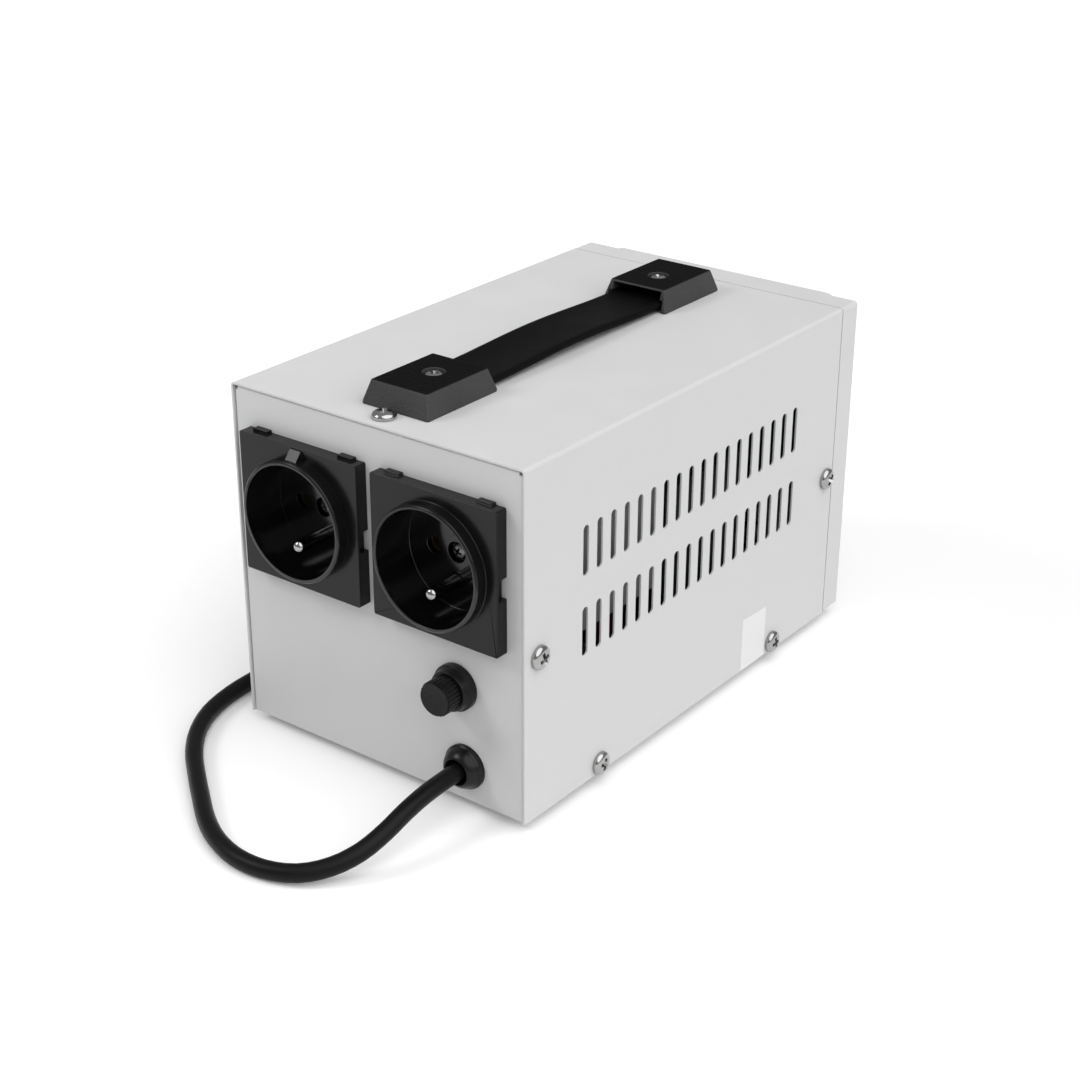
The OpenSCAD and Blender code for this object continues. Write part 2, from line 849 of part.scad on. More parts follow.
module fuse_holder_body() {
    color(black) at_fuse() {
        rotate_extrude() polygon([[fuse_bore / 2, fuse_tip_y], [fuse_bore / 2, fuse_bore_end],
            [0, fuse_bore_end],
            [0, fuse_back], [fuse_barrel_d / 2, fuse_back], [fuse_barrel_d / 2, -panel_inset],
            [fuse_flange_d / 2, -panel_inset], [fuse_flange_d / 2, fuse_flange_y],
                [fuse_cone_d / 2, fuse_flange_y],
            [fuse_tip_d / 2, fuse_tip_y]]);
        slab([-fuse_tab_w / 2, -fuse_tab_t / 2, fuse_back - fuse_tab_l],
            [fuse_tab_w / 2, fuse_tab_t / 2, fuse_back + cut]);
        slab([-fuse_barrel_d / 2 - fuse_tab_l + cut, -fuse_tab_t / 2, fuse_side_y - fuse_tab_w / 2],
            [-fuse_barrel_d / 2 + cut, fuse_tab_t / 2, fuse_side_y + fuse_tab_w / 2]);
    }
}

module fuse_holder_nut() {
    color(soft_black) at_fuse() translate([0, 0, -panel_inset - base_t - fuse_nut_t])
        nut(fuse_nut_d, fuse_nut_t, fuse_barrel_d + 2 * snug);
}

module fuse_cap() {
    color(black) at_fuse() difference() {
        union() {
            translate([0, 0, fuse_cap_y]) linear_extrude(fuse_cap_tip - fuse_face_h - fuse_cap_y)
                difference() {
                circle(d = fuse_cap_d);
                for (i = [0:fuse_grooves - 1]) {
                    rotate(360 * i / fuse_grooves) translate([fuse_cap_d / 2, 0]) circle(d = fuse_groove_d);
                }
            }
            translate([0, 0, fuse_cap_y]) cylinder(d = fuse_face_d, h = fuse_cap_tip - fuse_cap_y);
            cylinder(d = fuse_stem_d, h = fuse_cap_y + cut);
        }
        translate([0, 0, -cut]) cylinder(d = fuse_pocket_d, h = fuse_pocket_y + cut);
    }
}

module fuse_cartridge() {
    color(steel) at_fuse() {
        translate([0, 0, cartridge_front - cartridge_l]) cylinder(d = cartridge_d, h = ferrule_l);
        translate([0, 0, cartridge_front - cartridge_l]) cylinder(d = ferrule_d, h = cartridge_l);
        translate([0, 0, cartridge_front - ferrule_l]) cylinder(d = cartridge_d, h = ferrule_l);
    }
}

module cord_grommet() {
    low_r = grommet_dome_d / 2;
    tip_r = grommet_lip_d / 2;
    mid = (pow(grommet_tip, 2) + tip_r * tip_r - pow(grommet_brim,
        2) - low_r * low_r) / (2 * (grommet_tip - grommet_brim));
    dome = norm([low_r, grommet_brim - mid]);
    color(black) in_case() translate([cord_x, 0, cord_z]) facing_rear() difference() {
        union() {
            translate([0, 0, -panel_inset]) cylinder(d = grommet_d, h = grommet_brim + panel_inset);
            intersection() {
                translate([0, 0, mid]) sphere(dome);
                cylinder(d = grommet_d, h = grommet_tip);
            }
            translate([0, 0, grommet_back]) cylinder(d = grommet_hub, h = -grommet_back);
            translate([0, 0, grommet_latch_y])
                cylinder(d1 = grommet_hub, d2 = grommet_latch_d,
                    h = -panel_inset - base_t - snug - grommet_latch_y);
        }
        translate([0, 0, grommet_back - cut])
            cylinder(d = cord_d + 2 * snug, h = grommet_tip - grommet_back + 2 * cut);
        translate([0, 0, grommet_flare])
            cylinder(d1 = cord_d + 2 * snug, d2 = grommet_mouth, h = (grommet_tip - grommet_flare) / 2);
        translate([0, 0, (grommet_tip + grommet_flare) / 2]) cylinder(d = grommet_mouth, h = grommet_tip);
    }
}

module inner_cord() {
    color(soft_black) in_case() translate([cord_x, cord_in, cord_z]) facing_rear()
        cylinder(d = cord_d, h = cord_out - cord_in);
}

// An end cap of the handle, standing on z = 0 with its mouth toward -Y
module handle_cap() {
    color(soft_black) difference() {
        hull() {
            for (sx = [-1, 1], sy = [-1, 1]) {
                translate([sx * (cap_w / 2 - cap_corner), sy * (cap_l / 2 - cap_corner), 0])
                    cylinder(r = cap_corner, h = cap_foot, $fn = cap_fn);
                translate([sx * (cap_top_w / 2 - cap_edge), sy * (cap_top_l / 2 - cap_edge),
                    cap_h - cap_edge])
                    sphere(cap_edge, $fn = cap_fn);
            }
        }
        slab([-cap_low_w / 2, -cap_l / 2 - cut, -cut], [cap_low_w / 2, cap_l / 2 - cap_end_low, cap_low_h]);
        difference() {
            slab([-cap_high_w / 2, -cap_l / 2 - cut, -cut],
                [cap_high_w / 2, cap_l / 2 - cap_end_high, cap_h - cap_wall]);
            translate([0, cap_screw_y, cap_low_h]) cylinder(d = cap_boss_d, h = cap_h);
        }
        translate([0, cap_screw_y, cap_h - cap_sink]) cylinder(d = cap_sink_d, h = cap_sink + cut);
        translate([0, cap_screw_y, -cut]) cylinder(d = cap_bore, h = cap_h + cut);
    }
}

module at_rear_cap() {
    in_case() translate([0, -cap_y, case_h]) children();
}

module at_front_cap() {
    in_case() translate([0, 2 * slots_y + cap_y, case_h]) mirror([0, 1, 0]) children();
}

module handle_cap_rear() {
    at_rear_cap() handle_cap();
}

module handle_cap_front() {
    at_front_cap() handle_cap();
}

module handle_screw(turn) {
    translate([0, cap_screw_y, cap_h - cap_sink])
        pan_screw(handle_pan_d, handle_pan_h, handle_pan_edge, handle_screw_d, handle_screw_l, turn);
}

module handle_screws() {
    color(steel) {
        at_rear_cap() handle_screw(handle_turns[0]);
        at_front_cap() handle_screw(handle_turns[1]);
    }
}

module handle_nut() {
    translate([0, cap_screw_y, -cover_t - handle_nut_t]) nut(handle_nut_w, handle_nut_t, handle_nut_bore);
}

module handle_nuts() {
    color(steel) {
        at_rear_cap() handle_nut();
        at_front_cap() handle_nut();
    }
}

// A length of the strap between two places. Each end closes on top (1), below (-1) or is plain (0).
module strap_piece(back, front, back_end, front_end) {
    half = strap_t / 2;
    wedge = joint_gap + half * tan(bevel);
    function inset(kind, side) = kind == 0 ? 0 : kind == side ? wedge : joint_gap;
    color(soft_black) in_case() translate([0, 0, strap_mid]) along_x(strap_w) polygon([
        [back - inset(back_end, 1), half], [back - inset(back_end, 0), 0],
            [back - inset(back_end, -1), -half],
        [front + inset(front_end, -1), -half], [front + inset(front_end, 0), 0],
            [front + inset(front_end, 1), half]]);
}

module strap_rear_end() {
    color(soft_black) difference() {
        strap_piece(-strap_end, pivot_a, 0, 1);
        strap_cut(-cap_y + cap_screw_y, 0);
    }
}

module strap_rear_arm() {
    strap_piece(pivot_a, pivot_b, 1, -1);
}

module strap_grip() {
    strap_piece(pivot_b, pivot_c, -1, -1);
}

module strap_front_arm() {
    strap_piece(pivot_c, pivot_d, -1, 1);
}

module strap_front_end() {
    color(soft_black) difference() {
        strap_piece(pivot_d, 2 * slots_y + strap_end, 1, 0);
        strap_cut(2 * slots_y + cap_y - cap_screw_y, 1);
    }
}

// The long hole of a strap end: past the screw, and toward the strap's end as far as the strap is drawn in.
// front is 1 at the front end and 0 at the rear.
module strap_cut(screw_y, front) {
    in_case() translate([0, screw_y, case_h]) mirror([0, front, 0]) {
        translate([0, -slot_slack, 0]) cylinder(d = strap_slot_w, h = cap_low_h);
        translate([0, strap_travel + slot_play, 0]) cylinder(d = strap_slot_w, h = cap_low_h);
        translate([-strap_slot_w / 2, -slot_slack, 0])
            cube([strap_slot_w, strap_travel + slot_play + slot_slack, cap_low_h]);
    }
}

module front_bezel() {
    mid = case_h / 2;
    raised_mid = (raised_low + raised_high) / 2;
    raised_h = raised_high - raised_low;
    color(paint) in_case() difference() {
        union() {
            difference() {
                union() {
                    translate([0, -cover_l - bezel_gap, mid]) facing_front()
                        linear_extrude(bezel_band - bezel_gap) round_rect(case_w, case_h, bezel_r);
                    translate([0, -base_l, mid]) facing_front()
                        linear_extrude(bezel_band) round_rect(base_w, case_h - 2 * (cover_t + sheet_gap),
                            bezel_r);
                    translate([0, -band_front + cut, raised_mid]) facing_front()
                        linear_extrude(bezel_raise + cut) round_rect(raised_w, raised_h, raised_r);
                }
                translate([0, cut - base_l, mid]) facing_front()
                    linear_extrude(band_front - bezel_wall - base_l + cut)
                    round_rect(case_w - 2 * bezel_wall, case_h - 2 * bezel_wall, bezel_r - bezel_wall / 2);
                translate([0, -base_l, raised_mid]) facing_front()
                    linear_extrude(raised_front - bezel_wall - base_l)
                    round_rect(raised_w - 2 * bezel_wall, raised_h - 2 * bezel_wall,
                        raised_r - bezel_wall / 2);
            }
            for (x = [-boss_x, boss_x], z = [boss_low, boss_high]) {
                translate([x, -base_l, z]) facing_front()
                    cylinder(d = boss_d, h = band_front - base_l - cut);
            }
            for (x = [-display_x, display_x], s = [-1, 1]) {
                translate([x, -display_front, display_z + s * display_rise]) facing_front()
                    cylinder(d = post_d, h = raised_front - display_front - cut);
            }
        }
        for (x = [-boss_x, boss_x], z = [boss_low, boss_high]) {
            translate([x, cut - base_l, z]) facing_front()
                cylinder(d = screw_bore, h = band_front - bezel_wall - base_l + cut);
        }
        for (x = [-display_x, display_x], s = [-1, 1]) {
            translate([x, cut - display_front, display_z + s * display_rise]) facing_front()
                cylinder(d = screw_bore, h = raised_front - bezel_wall - display_front + cut);
        }
        translate([0, cut - raised_front + bezel_wall, window_z]) facing_front()
            linear_extrude(bezel_wall + 2 * cut) round_rect(window_w, window_h, window_r);
        translate([0, lens_t - raised_front, window_z]) facing_front() linear_extrude(lens_t + cut)
            round_rect(window_w + 2 * lens_lip, window_h + 2 * lens_lip, window_r);
        for (x = [-light_x, 0, light_x]) {
            translate([x, cut - raised_front + bezel_wall, light_z]) facing_front()
                cylinder(d = light_hole, h = bezel_wall + 2 * cut);
        }
        translate([switch_x, -raised_front - cut, controls_z])
            slab([-switch_w / 2 - snug, 0, -switch_h / 2 - snug],
                [switch_w / 2 + snug, bezel_wall + 2 * cut, switch_h / 2 + snug]);
        translate([delay_x, cut - raised_front + bezel_wall, controls_z]) facing_front()
            cylinder(d = delay_body_d + 2 * snug, h = bezel_wall + 2 * cut);
    }
}

module bezel_screws() {
    color(steel) in_case() for (x = [-boss_x, boss_x], z = [boss_low, boss_high]) {
        translate([x, base_t - base_l, z]) facing_rear()
            pan_screw(small_pan_d, small_pan_h, small_pan_edge, screw_d, bezel_screw_l, 0);
    }
}

module display_window() {
    color(smoke) in_case() translate([0, lens_t - raised_front, window_z]) facing_front()
        linear_extrude(lens_t - snug)
        round_rect(window_w + 2 * (lens_lip - lens_fit), window_h + 2 * (lens_lip - lens_fit), window_r);
}

module display_module() {
    color(black) in_case() slab([-module_w / 2, -module_front, window_z - module_h / 2],
        [module_w / 2, -display_front, window_z + module_h / 2]);
}

module display_board() {
    color(board_green) in_case() difference() {
        slab([-display_w / 2, -display_front, display_z - display_h / 2],
            [display_w / 2, display_t - display_front, display_z + display_h / 2]);
        for (x = [-display_x, display_x], s = [-1, 1]) {
            translate([x, cut + display_t - display_front, display_z + s * display_rise]) facing_front()
                cylinder(d = screw_bore, h = display_t + 2 * cut);
        }
    }
}

module display_screws() {
    color(steel) in_case() for (x = [-display_x, display_x], s = [-1, 1]) {
        translate([x, display_t - display_front, display_z + s * display_rise]) facing_rear()
            pan_screw(small_pan_d, small_pan_h, small_pan_edge, screw_d, display_screw_l, board_screw_turn);
    }
}

module indicator_lights() {
    tip = raised_front + light_reach;
    color([0.7, 0.2, 0.1]) in_case() for (x = [-light_x, 0, light_x]) {
        translate([x, -display_front, light_z]) facing_front() {
            cylinder(d = light_d, h = tip - display_front - light_d / 2);
            cylinder(d = light_brim_d, h = light_brim);
            translate([0, 0, tip - display_front - light_d / 2]) sphere(d = light_d);
        }
    }
}

module power_switch_body() {
    color(black) in_case() translate([switch_x, 0, controls_z]) {
        difference() {
            union() {
                slab([-switch_flange_w / 2, -raised_front - switch_flange_t, -switch_flange_h / 2],
                    [switch_flange_w / 2, -raised_front, switch_flange_h / 2]);
                slab([-switch_w / 2, -raised_front - cut, -switch_h / 2],
                    [switch_w / 2, -switch_back, switch_h / 2]);
            }
            translate([0, -rocker_pivot, 0]) rotate([0, 90, 0])
                cylinder(r = rocker_r + rocker_play, h = rocker_w + 2 * rocker_play, center = true);
        }
        for (x = [-1, 1], z = [-1, 1]) {
            translate([x * switch_tab_x, 0, z * switch_tab_z])
                slab([-switch_tab_w / 2, -switch_back - cut, -switch_tab_t / 2],
                [switch_tab_w / 2, switch_tab_l - switch_back, switch_tab_t / 2]);
        }
    }
}

module power_rocker() {
    edge = rocker_mid + rocker_r * tan(rocker_tilt);
    color(black) in_case() translate([switch_x, -rocker_pivot, controls_z]) along_x(rocker_w)
        rotate(rocker_tilt) intersection() {
        circle(rocker_r);
        polygon([[-rocker_mid, 0], [-edge, rocker_r], [rocker_under, rocker_r], [rocker_under, -rocker_r],
            [-edge, -rocker_r]]);
    }
}

module delay_switch_body() {
    color(black) in_case() translate([delay_x, 0, controls_z]) facing_front() difference() {
        union() {
            translate([0, 0, raised_front]) cylinder(d = delay_flange_d, h = delay_flange_t);
            translate([0, 0, delay_back]) cylinder(d = delay_body_d,
                h = raised_front - delay_back + delay_flange_t / 2);
        }
        translate([0, 0, delay_pocket]) cylinder(d = delay_bore,
            h = raised_front - delay_pocket + 2 * delay_flange_t);
        translate([0, 0, delay_back + delay_flange_t])
            cylinder(d = delay_stem_bore, h = raised_front - delay_back);
    }
}

module delay_button() {
    color(soft_black) in_case() translate([delay_x, 0, controls_z]) facing_front() {
        translate([0, 0, delay_cap_back]) cylinder(d = delay_cap_d, h = rest_front - delay_cap_back);
        translate([0, 0, delay_stem_back])
            cylinder(d = delay_stem_d, h = delay_cap_back - delay_stem_back + cut);
    }
}

module transformer_core() {
    mid = base_t + core_h / 2;
    color(steel) in_case() difference() {
        slab([-core_w / 2, core_y - core_stack / 2, base_t],
            [core_w / 2, core_y + core_stack / 2, base_t + core_h]);
        both() slab([leg_w / 2, core_y - core_stack, mid - window_core_h / 2],
            [leg_w / 2 + window_core_w, core_y + core_stack, mid + window_core_h / 2]);
        for (x = [-1, 1], z = [bolt_edge, core_h - bolt_edge]) {
            translate([x * (core_w / 2 - bolt_edge), core_y + core_stack, base_t + z]) facing_front()
                cylinder(d = bolt_hole, h = 2 * core_stack);
        }
    }
}

module transformer_bobbin() {
    mid = base_t + core_h / 2;
    half = window_core_h / 2 - bobbin_fit;
    tube_x = leg_w / 2 + bobbin_fit;
    tube_y = core_stack / 2 + bobbin_fit;
    color([0.85, 0.83, 0.75]) in_case() translate([0, core_y, mid]) difference() {
        union() {
            slab([-tube_x - bobbin_wall, -tube_y - bobbin_wall, -half],
                [tube_x + bobbin_wall, tube_y + bobbin_wall, half]);
            for (s = [-1, 1]) {
                translate([0, 0, s * (half - bobbin_wall / 2)]) linear_extrude(bobbin_wall, center = true)
                    round_rect(leg_w + 2 * window_core_w - 2 * bobbin_fit, 2 * bobbin_out, winding_r);
            }
        }
        slab([-tube_x, -tube_y, -half - cut], [tube_x, tube_y, half + cut]);
    }
}

module transformer_winding() {
    mid = base_t + core_h / 2;
    half = window_core_h / 2 - bobbin_fit - bobbin_wall - snug;
    inner_x = leg_w / 2 + bobbin_fit + bobbin_wall + snug;
    inner_y = core_stack / 2 + bobbin_fit + bobbin_wall + snug;
    color(copper) in_case() translate([0, core_y, mid]) difference() {
        linear_extrude(2 * half, center = true)
            round_rect(leg_w + 2 * window_core_w - 2 * bobbin_fit - winding_in,
                2 * (bobbin_out - winding_in), winding_r);
        slab([-inner_x, -inner_y, -half - cut], [inner_x, inner_y, half + cut]);
    }
}

// Both ends of the core, with the local +Y away from it
module core_ends() {
    in_case() translate([0, core_y, base_t]) for (s = [0, 1]) {
        mirror([0, s, 0]) translate([0, core_stack / 2, 0]) children();
    }
}

module transformer_brackets() {
    half = core_w / 2 - bracket_in;
    color(steel) core_ends() difference() {
        union() {
            slab([-half, 0, 0], [half, bracket_t, bracket_h]);
            slab([-half, 0, 0], [half, bracket_t + bracket_foot, bracket_t]);
        }
        for (s = [-1, 1]) {
            translate([s * (core_w / 2 - bolt_edge), -cut, bolt_edge]) facing_rear()
                cylinder(d = bolt_hole, h = bracket_t + 2 * cut);
            translate([s * base_screw_x, base_screw_out, -cut])
                cylinder(d = bolt_hole, h = bracket_t + 2 * cut);
        }
    }
}

module transformer_bolts() {
    half = core_stack / 2;
    color(steel) in_case() for (x = [-1, 1], low = [1, 0]) {
        z = low == 1 ? bolt_edge : core_h - bolt_edge;
        reach = half + low * bracket_t;
        translate([x * (core_w / 2 - bolt_edge), core_y, base_t + z]) facing_rear() {
            translate([0, 0, -reach]) cylinder(d = bolt_d, h = 2 * reach);
            for (s = [-1, 1]) {
                translate([0, 0, s * (reach + bolt_head_t / 2)])
                    cylinder(d = bolt_head_w, h = bolt_head_t, center = true, $fn = 6);
            }
        }
    }
}

module transformer_screws() {
    color(steel) core_ends() for (s = [-1, 1]) {
        translate([s * base_screw_x, base_screw_out, -base_t]) mirror([0, 0, 1])
            pan_screw(pan_d, pan_h, pan_edge, bolt_d, base_screw_l, 0);
    }
}

module transformer_nuts() {
    color(steel) core_ends() for (s = [-1, 1]) {
        translate([s * base_screw_x, base_screw_out, bracket_t])
            nut(base_nut_w, base_nut_t, bolt_d + 2 * snug);
    }
}

// The four screw places of the control board
module board_corners() {
    for (x = [board_left + board_edge, board_right - board_edge],
        y = [board_rear - board_edge, board_front + board_edge]) {
        translate([x, y, 0]) children();
    }
}

module control_board() {
    color(board_green) in_case() difference() {
        slab([board_left, board_front, board_z - board_t], [board_right, board_rear, board_z]);
        board_corners() cylinder(d = screw_bore, h = board_z + cut);
    }
}

module board_standoffs() {
    color(brass) in_case() board_corners() translate([0, 0, base_t]) difference() {
        cylinder(d = standoff_w, h = board_lift, $fn = 6);
        translate([0, 0, board_t]) cylinder(d = screw_bore, h = board_lift);
    }
}

module board_screws() {
    color(steel) in_case() board_corners() translate([0, 0, board_z])
        pan_screw(small_pan_d, small_pan_h, small_pan_edge, screw_d, board_screw_l, board_screw_turn);
}

module board_relays() {
    color(relay_blue) in_case() for (place = relay_places) {
        x = board_right - place;
        slab([x - relay_w / 2, relay_y - relay_l / 2, board_z],
            [x + relay_w / 2, relay_y + relay_l / 2, board_z + relay_h]);
    }
}

module board_capacitors() {
    color(black) in_case() for (c = capacitors) {
        translate([board_right - c[0], c[1], board_z]) cylinder(d = c[2], h = c[3]);
    }
}

module board_terminals() {
    color(board_green) in_case() translate([terminal_x, terminal_y, board_z]) difference() {
        slab([-terminal_w / 2, -terminal_l / 2, 0], [terminal_w / 2, terminal_l / 2, terminal_h]);
        for (i = [0:terminal_ways - 1]) {
            translate([(i - (terminal_ways - 1) / 2) * terminal_pitch, 0, terminal_h - terminal_sink])
                cylinder(d = terminal_hole, h = terminal_sink + cut);
        }
    }
}

module mains_wires() {
    color([0.35, 0.2, 0.1]) in_case() {
        wire(fuse_feed);
        wire(neutral_feed);
        wire(earth_feed);
    }
}

module switch_wires() {
    color([0.5, 0.08, 0.06]) in_case() {
        wire(live_to_switch);
        wire(switch_to_board);
    }
}

module outlet_wires() {
    color([0.1, 0.15, 0.5]) in_case() {
        wire(outlet_feed_left);
        wire(outlet_feed_right);
        wire(outlet_link);
        wire(earth_link);
    }
}

module transformer_leads() {
    color([0.7, 0.6, 0.1]) in_case() for (x = lead_places) {
        wire([for (p = lead_route) [x, p[0], p[1]]]);
    }
}

module earth_stud() {
    color(steel) in_case() translate([stud_x, stud_y, 0]) {
        translate([0, 0, -stud_head_t]) cylinder(d = stud_head_d, h = stud_head_t);
        translate([0, 0, -stud_head_t]) cylinder(d = stud_d, h = stud_top + stud_head_t);
        translate([0, 0, base_t]) cylinder(d = stud_nut_w, h = stud_nut_t, $fn = 6);
        translate([0, 0, 2 * stud_nut_t]) cylinder(d = stud_nut_w, h = stud_nut_t, $fn = 6);
    }
}

// The cord from the grommet, over the floor and round the side to its coil
module power_cord() {
    route = concat([cord_start], cord_exit, [for (p = cord_bend) [p[0], p[1], cord_floor]],
        [[coil_x - coil_r, coil_y + cord_d, cord_floor]]);
    color(soft_black) tube(route, cord_d / 2, cord_sides);
}

// The coil runs inward on the floor, climbs in the half turn where it turns back, and runs outward above
function coil_radius(t) = coil_r - coil_pitch * min(t, coil_turns - t);
function coil_height(t) = let (u = (t - coil_turns / 2 + coil_climb) / (2 * coil_climb))
    cord_floor + coil_rise * min(1, max(0, u));
function coil_point(t) = [coil_x + coil_radius(t) * cos(180 + 360 * t),
    coil_y + coil_radius(t) * sin(180 + 360 * t),
    coil_height(t)];
function coil_route() = let (n = coil_turns * coil_rings) concat([coil_point(0) + [0, cord_d, 0]],
    [for (i = [0:n]) coil_point(i / coil_rings)], [coil_point(coil_turns) - [0, cord_d, 0]]);

module cord_coil() {
    route = coil_route();
    gaps = [for (i = [0:len(route) - 1], j = [i + coil_rings / 2:1:len(route) - 1])
        norm(route[i] - route[j])];
    echo(least_gap = min(gaps) - cord_d);
    color(soft_black) tube(route, cord_d / 2, coil_sides);
}

module cord_tail() {
    route = concat([coil_point(coil_turns) - [0, cord_d, 0]], tail_route);
    color(soft_black) tube(route, cord_d / 2, cord_sides);
}

module at_plug() {
    translate([plug_x, relief_start, plug_z]) facing_front() children();
}

module plug_strain_relief() {
    step = relief_l / (relief_rings + 1);
    color(soft_black) at_plug() difference() {
        cylinder(d1 = relief_d, d2 = relief_end_d, h = relief_l);
        for (i = [1:relief_rings]) {
            d = relief_d + (relief_end_d - relief_d) * i / (relief_rings + 1);
            translate([0, 0, i * step - relief_groove / 2]) difference() {
                cylinder(d = d + cut, h = relief_groove);
                cylinder(d = d - relief_depth, h = relief_groove);
            }
        }
    }
}

module plug_body() {
    r = plug_d / 2;
    color(soft_black) at_plug() translate([0, 0, relief_l]) difference() {
        rotate_extrude() polygon([[0, 0], [plug_neck_d / 2 - plug_round, 0], [plug_neck_d / 2, plug_round],
            [plug_neck_d / 2, plug_neck], [r - plug_round, plug_shoulder - plug_round], [r, plug_shoulder],
            [r, plug_l - plug_round], [r - plug_round, plug_l], [0, plug_l]]);
        translate([0, earth_drop, plug_l - plug_earth_depth])
            cylinder(d = plug_earth_d, h = plug_earth_depth + cut);
        for (s = [-1, 1]) {
            translate([0, s * r, plug_l - plug_clip_l])
                slab([-plug_clip_w / 2, -plug_clip_depth, 0],
                    [plug_clip_w / 2, plug_clip_depth, plug_clip_l + cut]);
        }
    }
}

module plug_pins() {
    color(steel) at_plug() for (s = [-1, 1]) {
        translate([s * pin_spread, 0, relief_l + plug_l]) {
            cylinder(d = plug_pin_d, h = plug_pin_l - plug_pin_d / 2);
            translate([0, 0, plug_pin_l - plug_pin_d / 2]) sphere(d = plug_pin_d);
        }
    }
}

base_chassis();
top_cover();
front_bezel();
bezel_screws();
display_window();
display_module();
display_board();
display_screws();
indicator_lights();
power_switch_body();
power_rocker();
delay_switch_body();
delay_button();
handle_cap_rear();
handle_cap_front();
handle_screws();
handle_nuts();
strap_rear_end();
strap_rear_arm();
strap_grip();
strap_front_arm();
strap_front_end();
outlet_body_left();
outlet_body_right();
outlet_earth_pins();
outlet_contacts();
outlet_screws();
fuse_holder_body();
fuse_holder_nut();
fuse_cap();
fuse_cartridge();
cord_grommet();
inner_cord();
power_cord();
cord_coil();
cord_tail();
plug_body();
plug_pins();
plug_strain_relief();
cover_screws();
rubber_feet();
foot_screws();
transformer_core();
transformer_bobbin();
transformer_winding();
transformer_brackets();
transformer_bolts();
transformer_screws();
transformer_nuts();
control_board();
board_standoffs();
board_screws();
board_relays();
board_capacitors();
board_terminals();
mains_wires();
switch_wires();
outlet_wires();
transformer_leads();
earth_stud();
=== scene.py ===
import json
import math

import bmesh
import bpy
from mathutils import Matrix, Vector


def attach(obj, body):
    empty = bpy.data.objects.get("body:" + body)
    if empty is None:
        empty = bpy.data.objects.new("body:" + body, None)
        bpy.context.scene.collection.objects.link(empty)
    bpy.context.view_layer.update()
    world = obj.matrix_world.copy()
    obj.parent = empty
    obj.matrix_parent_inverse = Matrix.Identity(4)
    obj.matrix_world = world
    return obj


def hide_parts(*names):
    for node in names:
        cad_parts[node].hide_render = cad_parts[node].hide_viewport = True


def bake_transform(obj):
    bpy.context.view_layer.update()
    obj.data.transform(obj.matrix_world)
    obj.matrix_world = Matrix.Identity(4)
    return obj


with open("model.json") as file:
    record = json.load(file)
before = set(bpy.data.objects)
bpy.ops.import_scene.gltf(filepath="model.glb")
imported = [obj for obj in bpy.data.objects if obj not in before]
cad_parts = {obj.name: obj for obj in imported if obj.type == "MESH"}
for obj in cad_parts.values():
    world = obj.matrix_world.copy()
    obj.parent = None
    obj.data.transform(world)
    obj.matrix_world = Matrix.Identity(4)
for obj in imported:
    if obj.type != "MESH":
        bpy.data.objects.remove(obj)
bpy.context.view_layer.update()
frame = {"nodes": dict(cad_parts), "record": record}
nodes = frame["nodes"]
scene = bpy.context.scene
mm = 0.001
print("frame loaded,", len(nodes), "solids")

# The case's own frame: y = 0 is the rear rim of the cover, z = 0 its underside
case = {"rear": 99.5, "foot": 4.0, "width": 125.0, "height": 127.0}


def inCase(x, y, z):
    return Vector((x, y + case["rear"], z + case["foot"])) * mm


# Camera, fitted to the corners of the case
camera = {"azimuth": 217.288, "elevation": 25.173, "roll": 0.169, "lens": 67.13, "sensor": 36,
          "near": 0.01, "place": (-405.7, 442.8, 367.3)}


def addCamera(c):
    a, e, r = (math.radians(c[k]) for k in ("azimuth", "elevation", "roll"))
    back = Vector((math.sin(a) * math.cos(e), -math.cos(a) * math.cos(e), math.sin(e)))
    right = Vector((0, 0, 1)).cross(back).normalized()
    up = back.cross(right)
    turned = right * math.cos(r) + up * math.sin(r)
    up = up * math.cos(r) - right * math.sin(r)
    data = bpy.data.cameras.new("camera")
    data.lens = c["lens"]
    data.sensor_width = c["sensor"]
    data.clip_start = c["near"]
    obj = bpy.data.objects.new("camera", data)
    place = inCase(*c["place"])
    obj.matrix_world = Matrix.Translation(place) @ Matrix((turned, up, back)).transposed().to_4x4()
    scene.collection.objects.link(obj)
    scene.camera = obj


addCamera(camera)

# Materials. Every pattern is in Object coordinates, in metres.
# Ranges are those of the noise, and of the upward part of the normal for the painted top shade.
pattern = {"cloudScale": 60.0, "cloudRange": (0.3, 0.7), "glossRange": (0.25, 0.75), "paintedTopRange": (0.6, 0.95),
           "scratchScale": (60, 1800, 1800), "coatRough": 0.08}


# Short names for building one node tree.
class Nodes:
    def __init__(self, tree):
        self.tree = tree
        tree.nodes.clear()

    def add(self, kind, values=None, **props):
        node = self.tree.nodes.new(kind)
        for key, value in props.items():
            setattr(node, key, value)
        for key, value in (values or {}).items():
            node.inputs[key].default_value = value
        return node

    def link(self, a, b):
        self.tree.links.new(a, b)


# Maps a socket's value from one range to another, and gives the result's socket.
def mapped(n, source, given, wanted):
    node = n.add("ShaderNodeMapRange", {"From Min": given[0], "From Max": given[1],
                                        "To Min": wanted[0], "To Max": wanted[1]})
    n.link(source, node.inputs["Value"])
    return node.outputs[0]
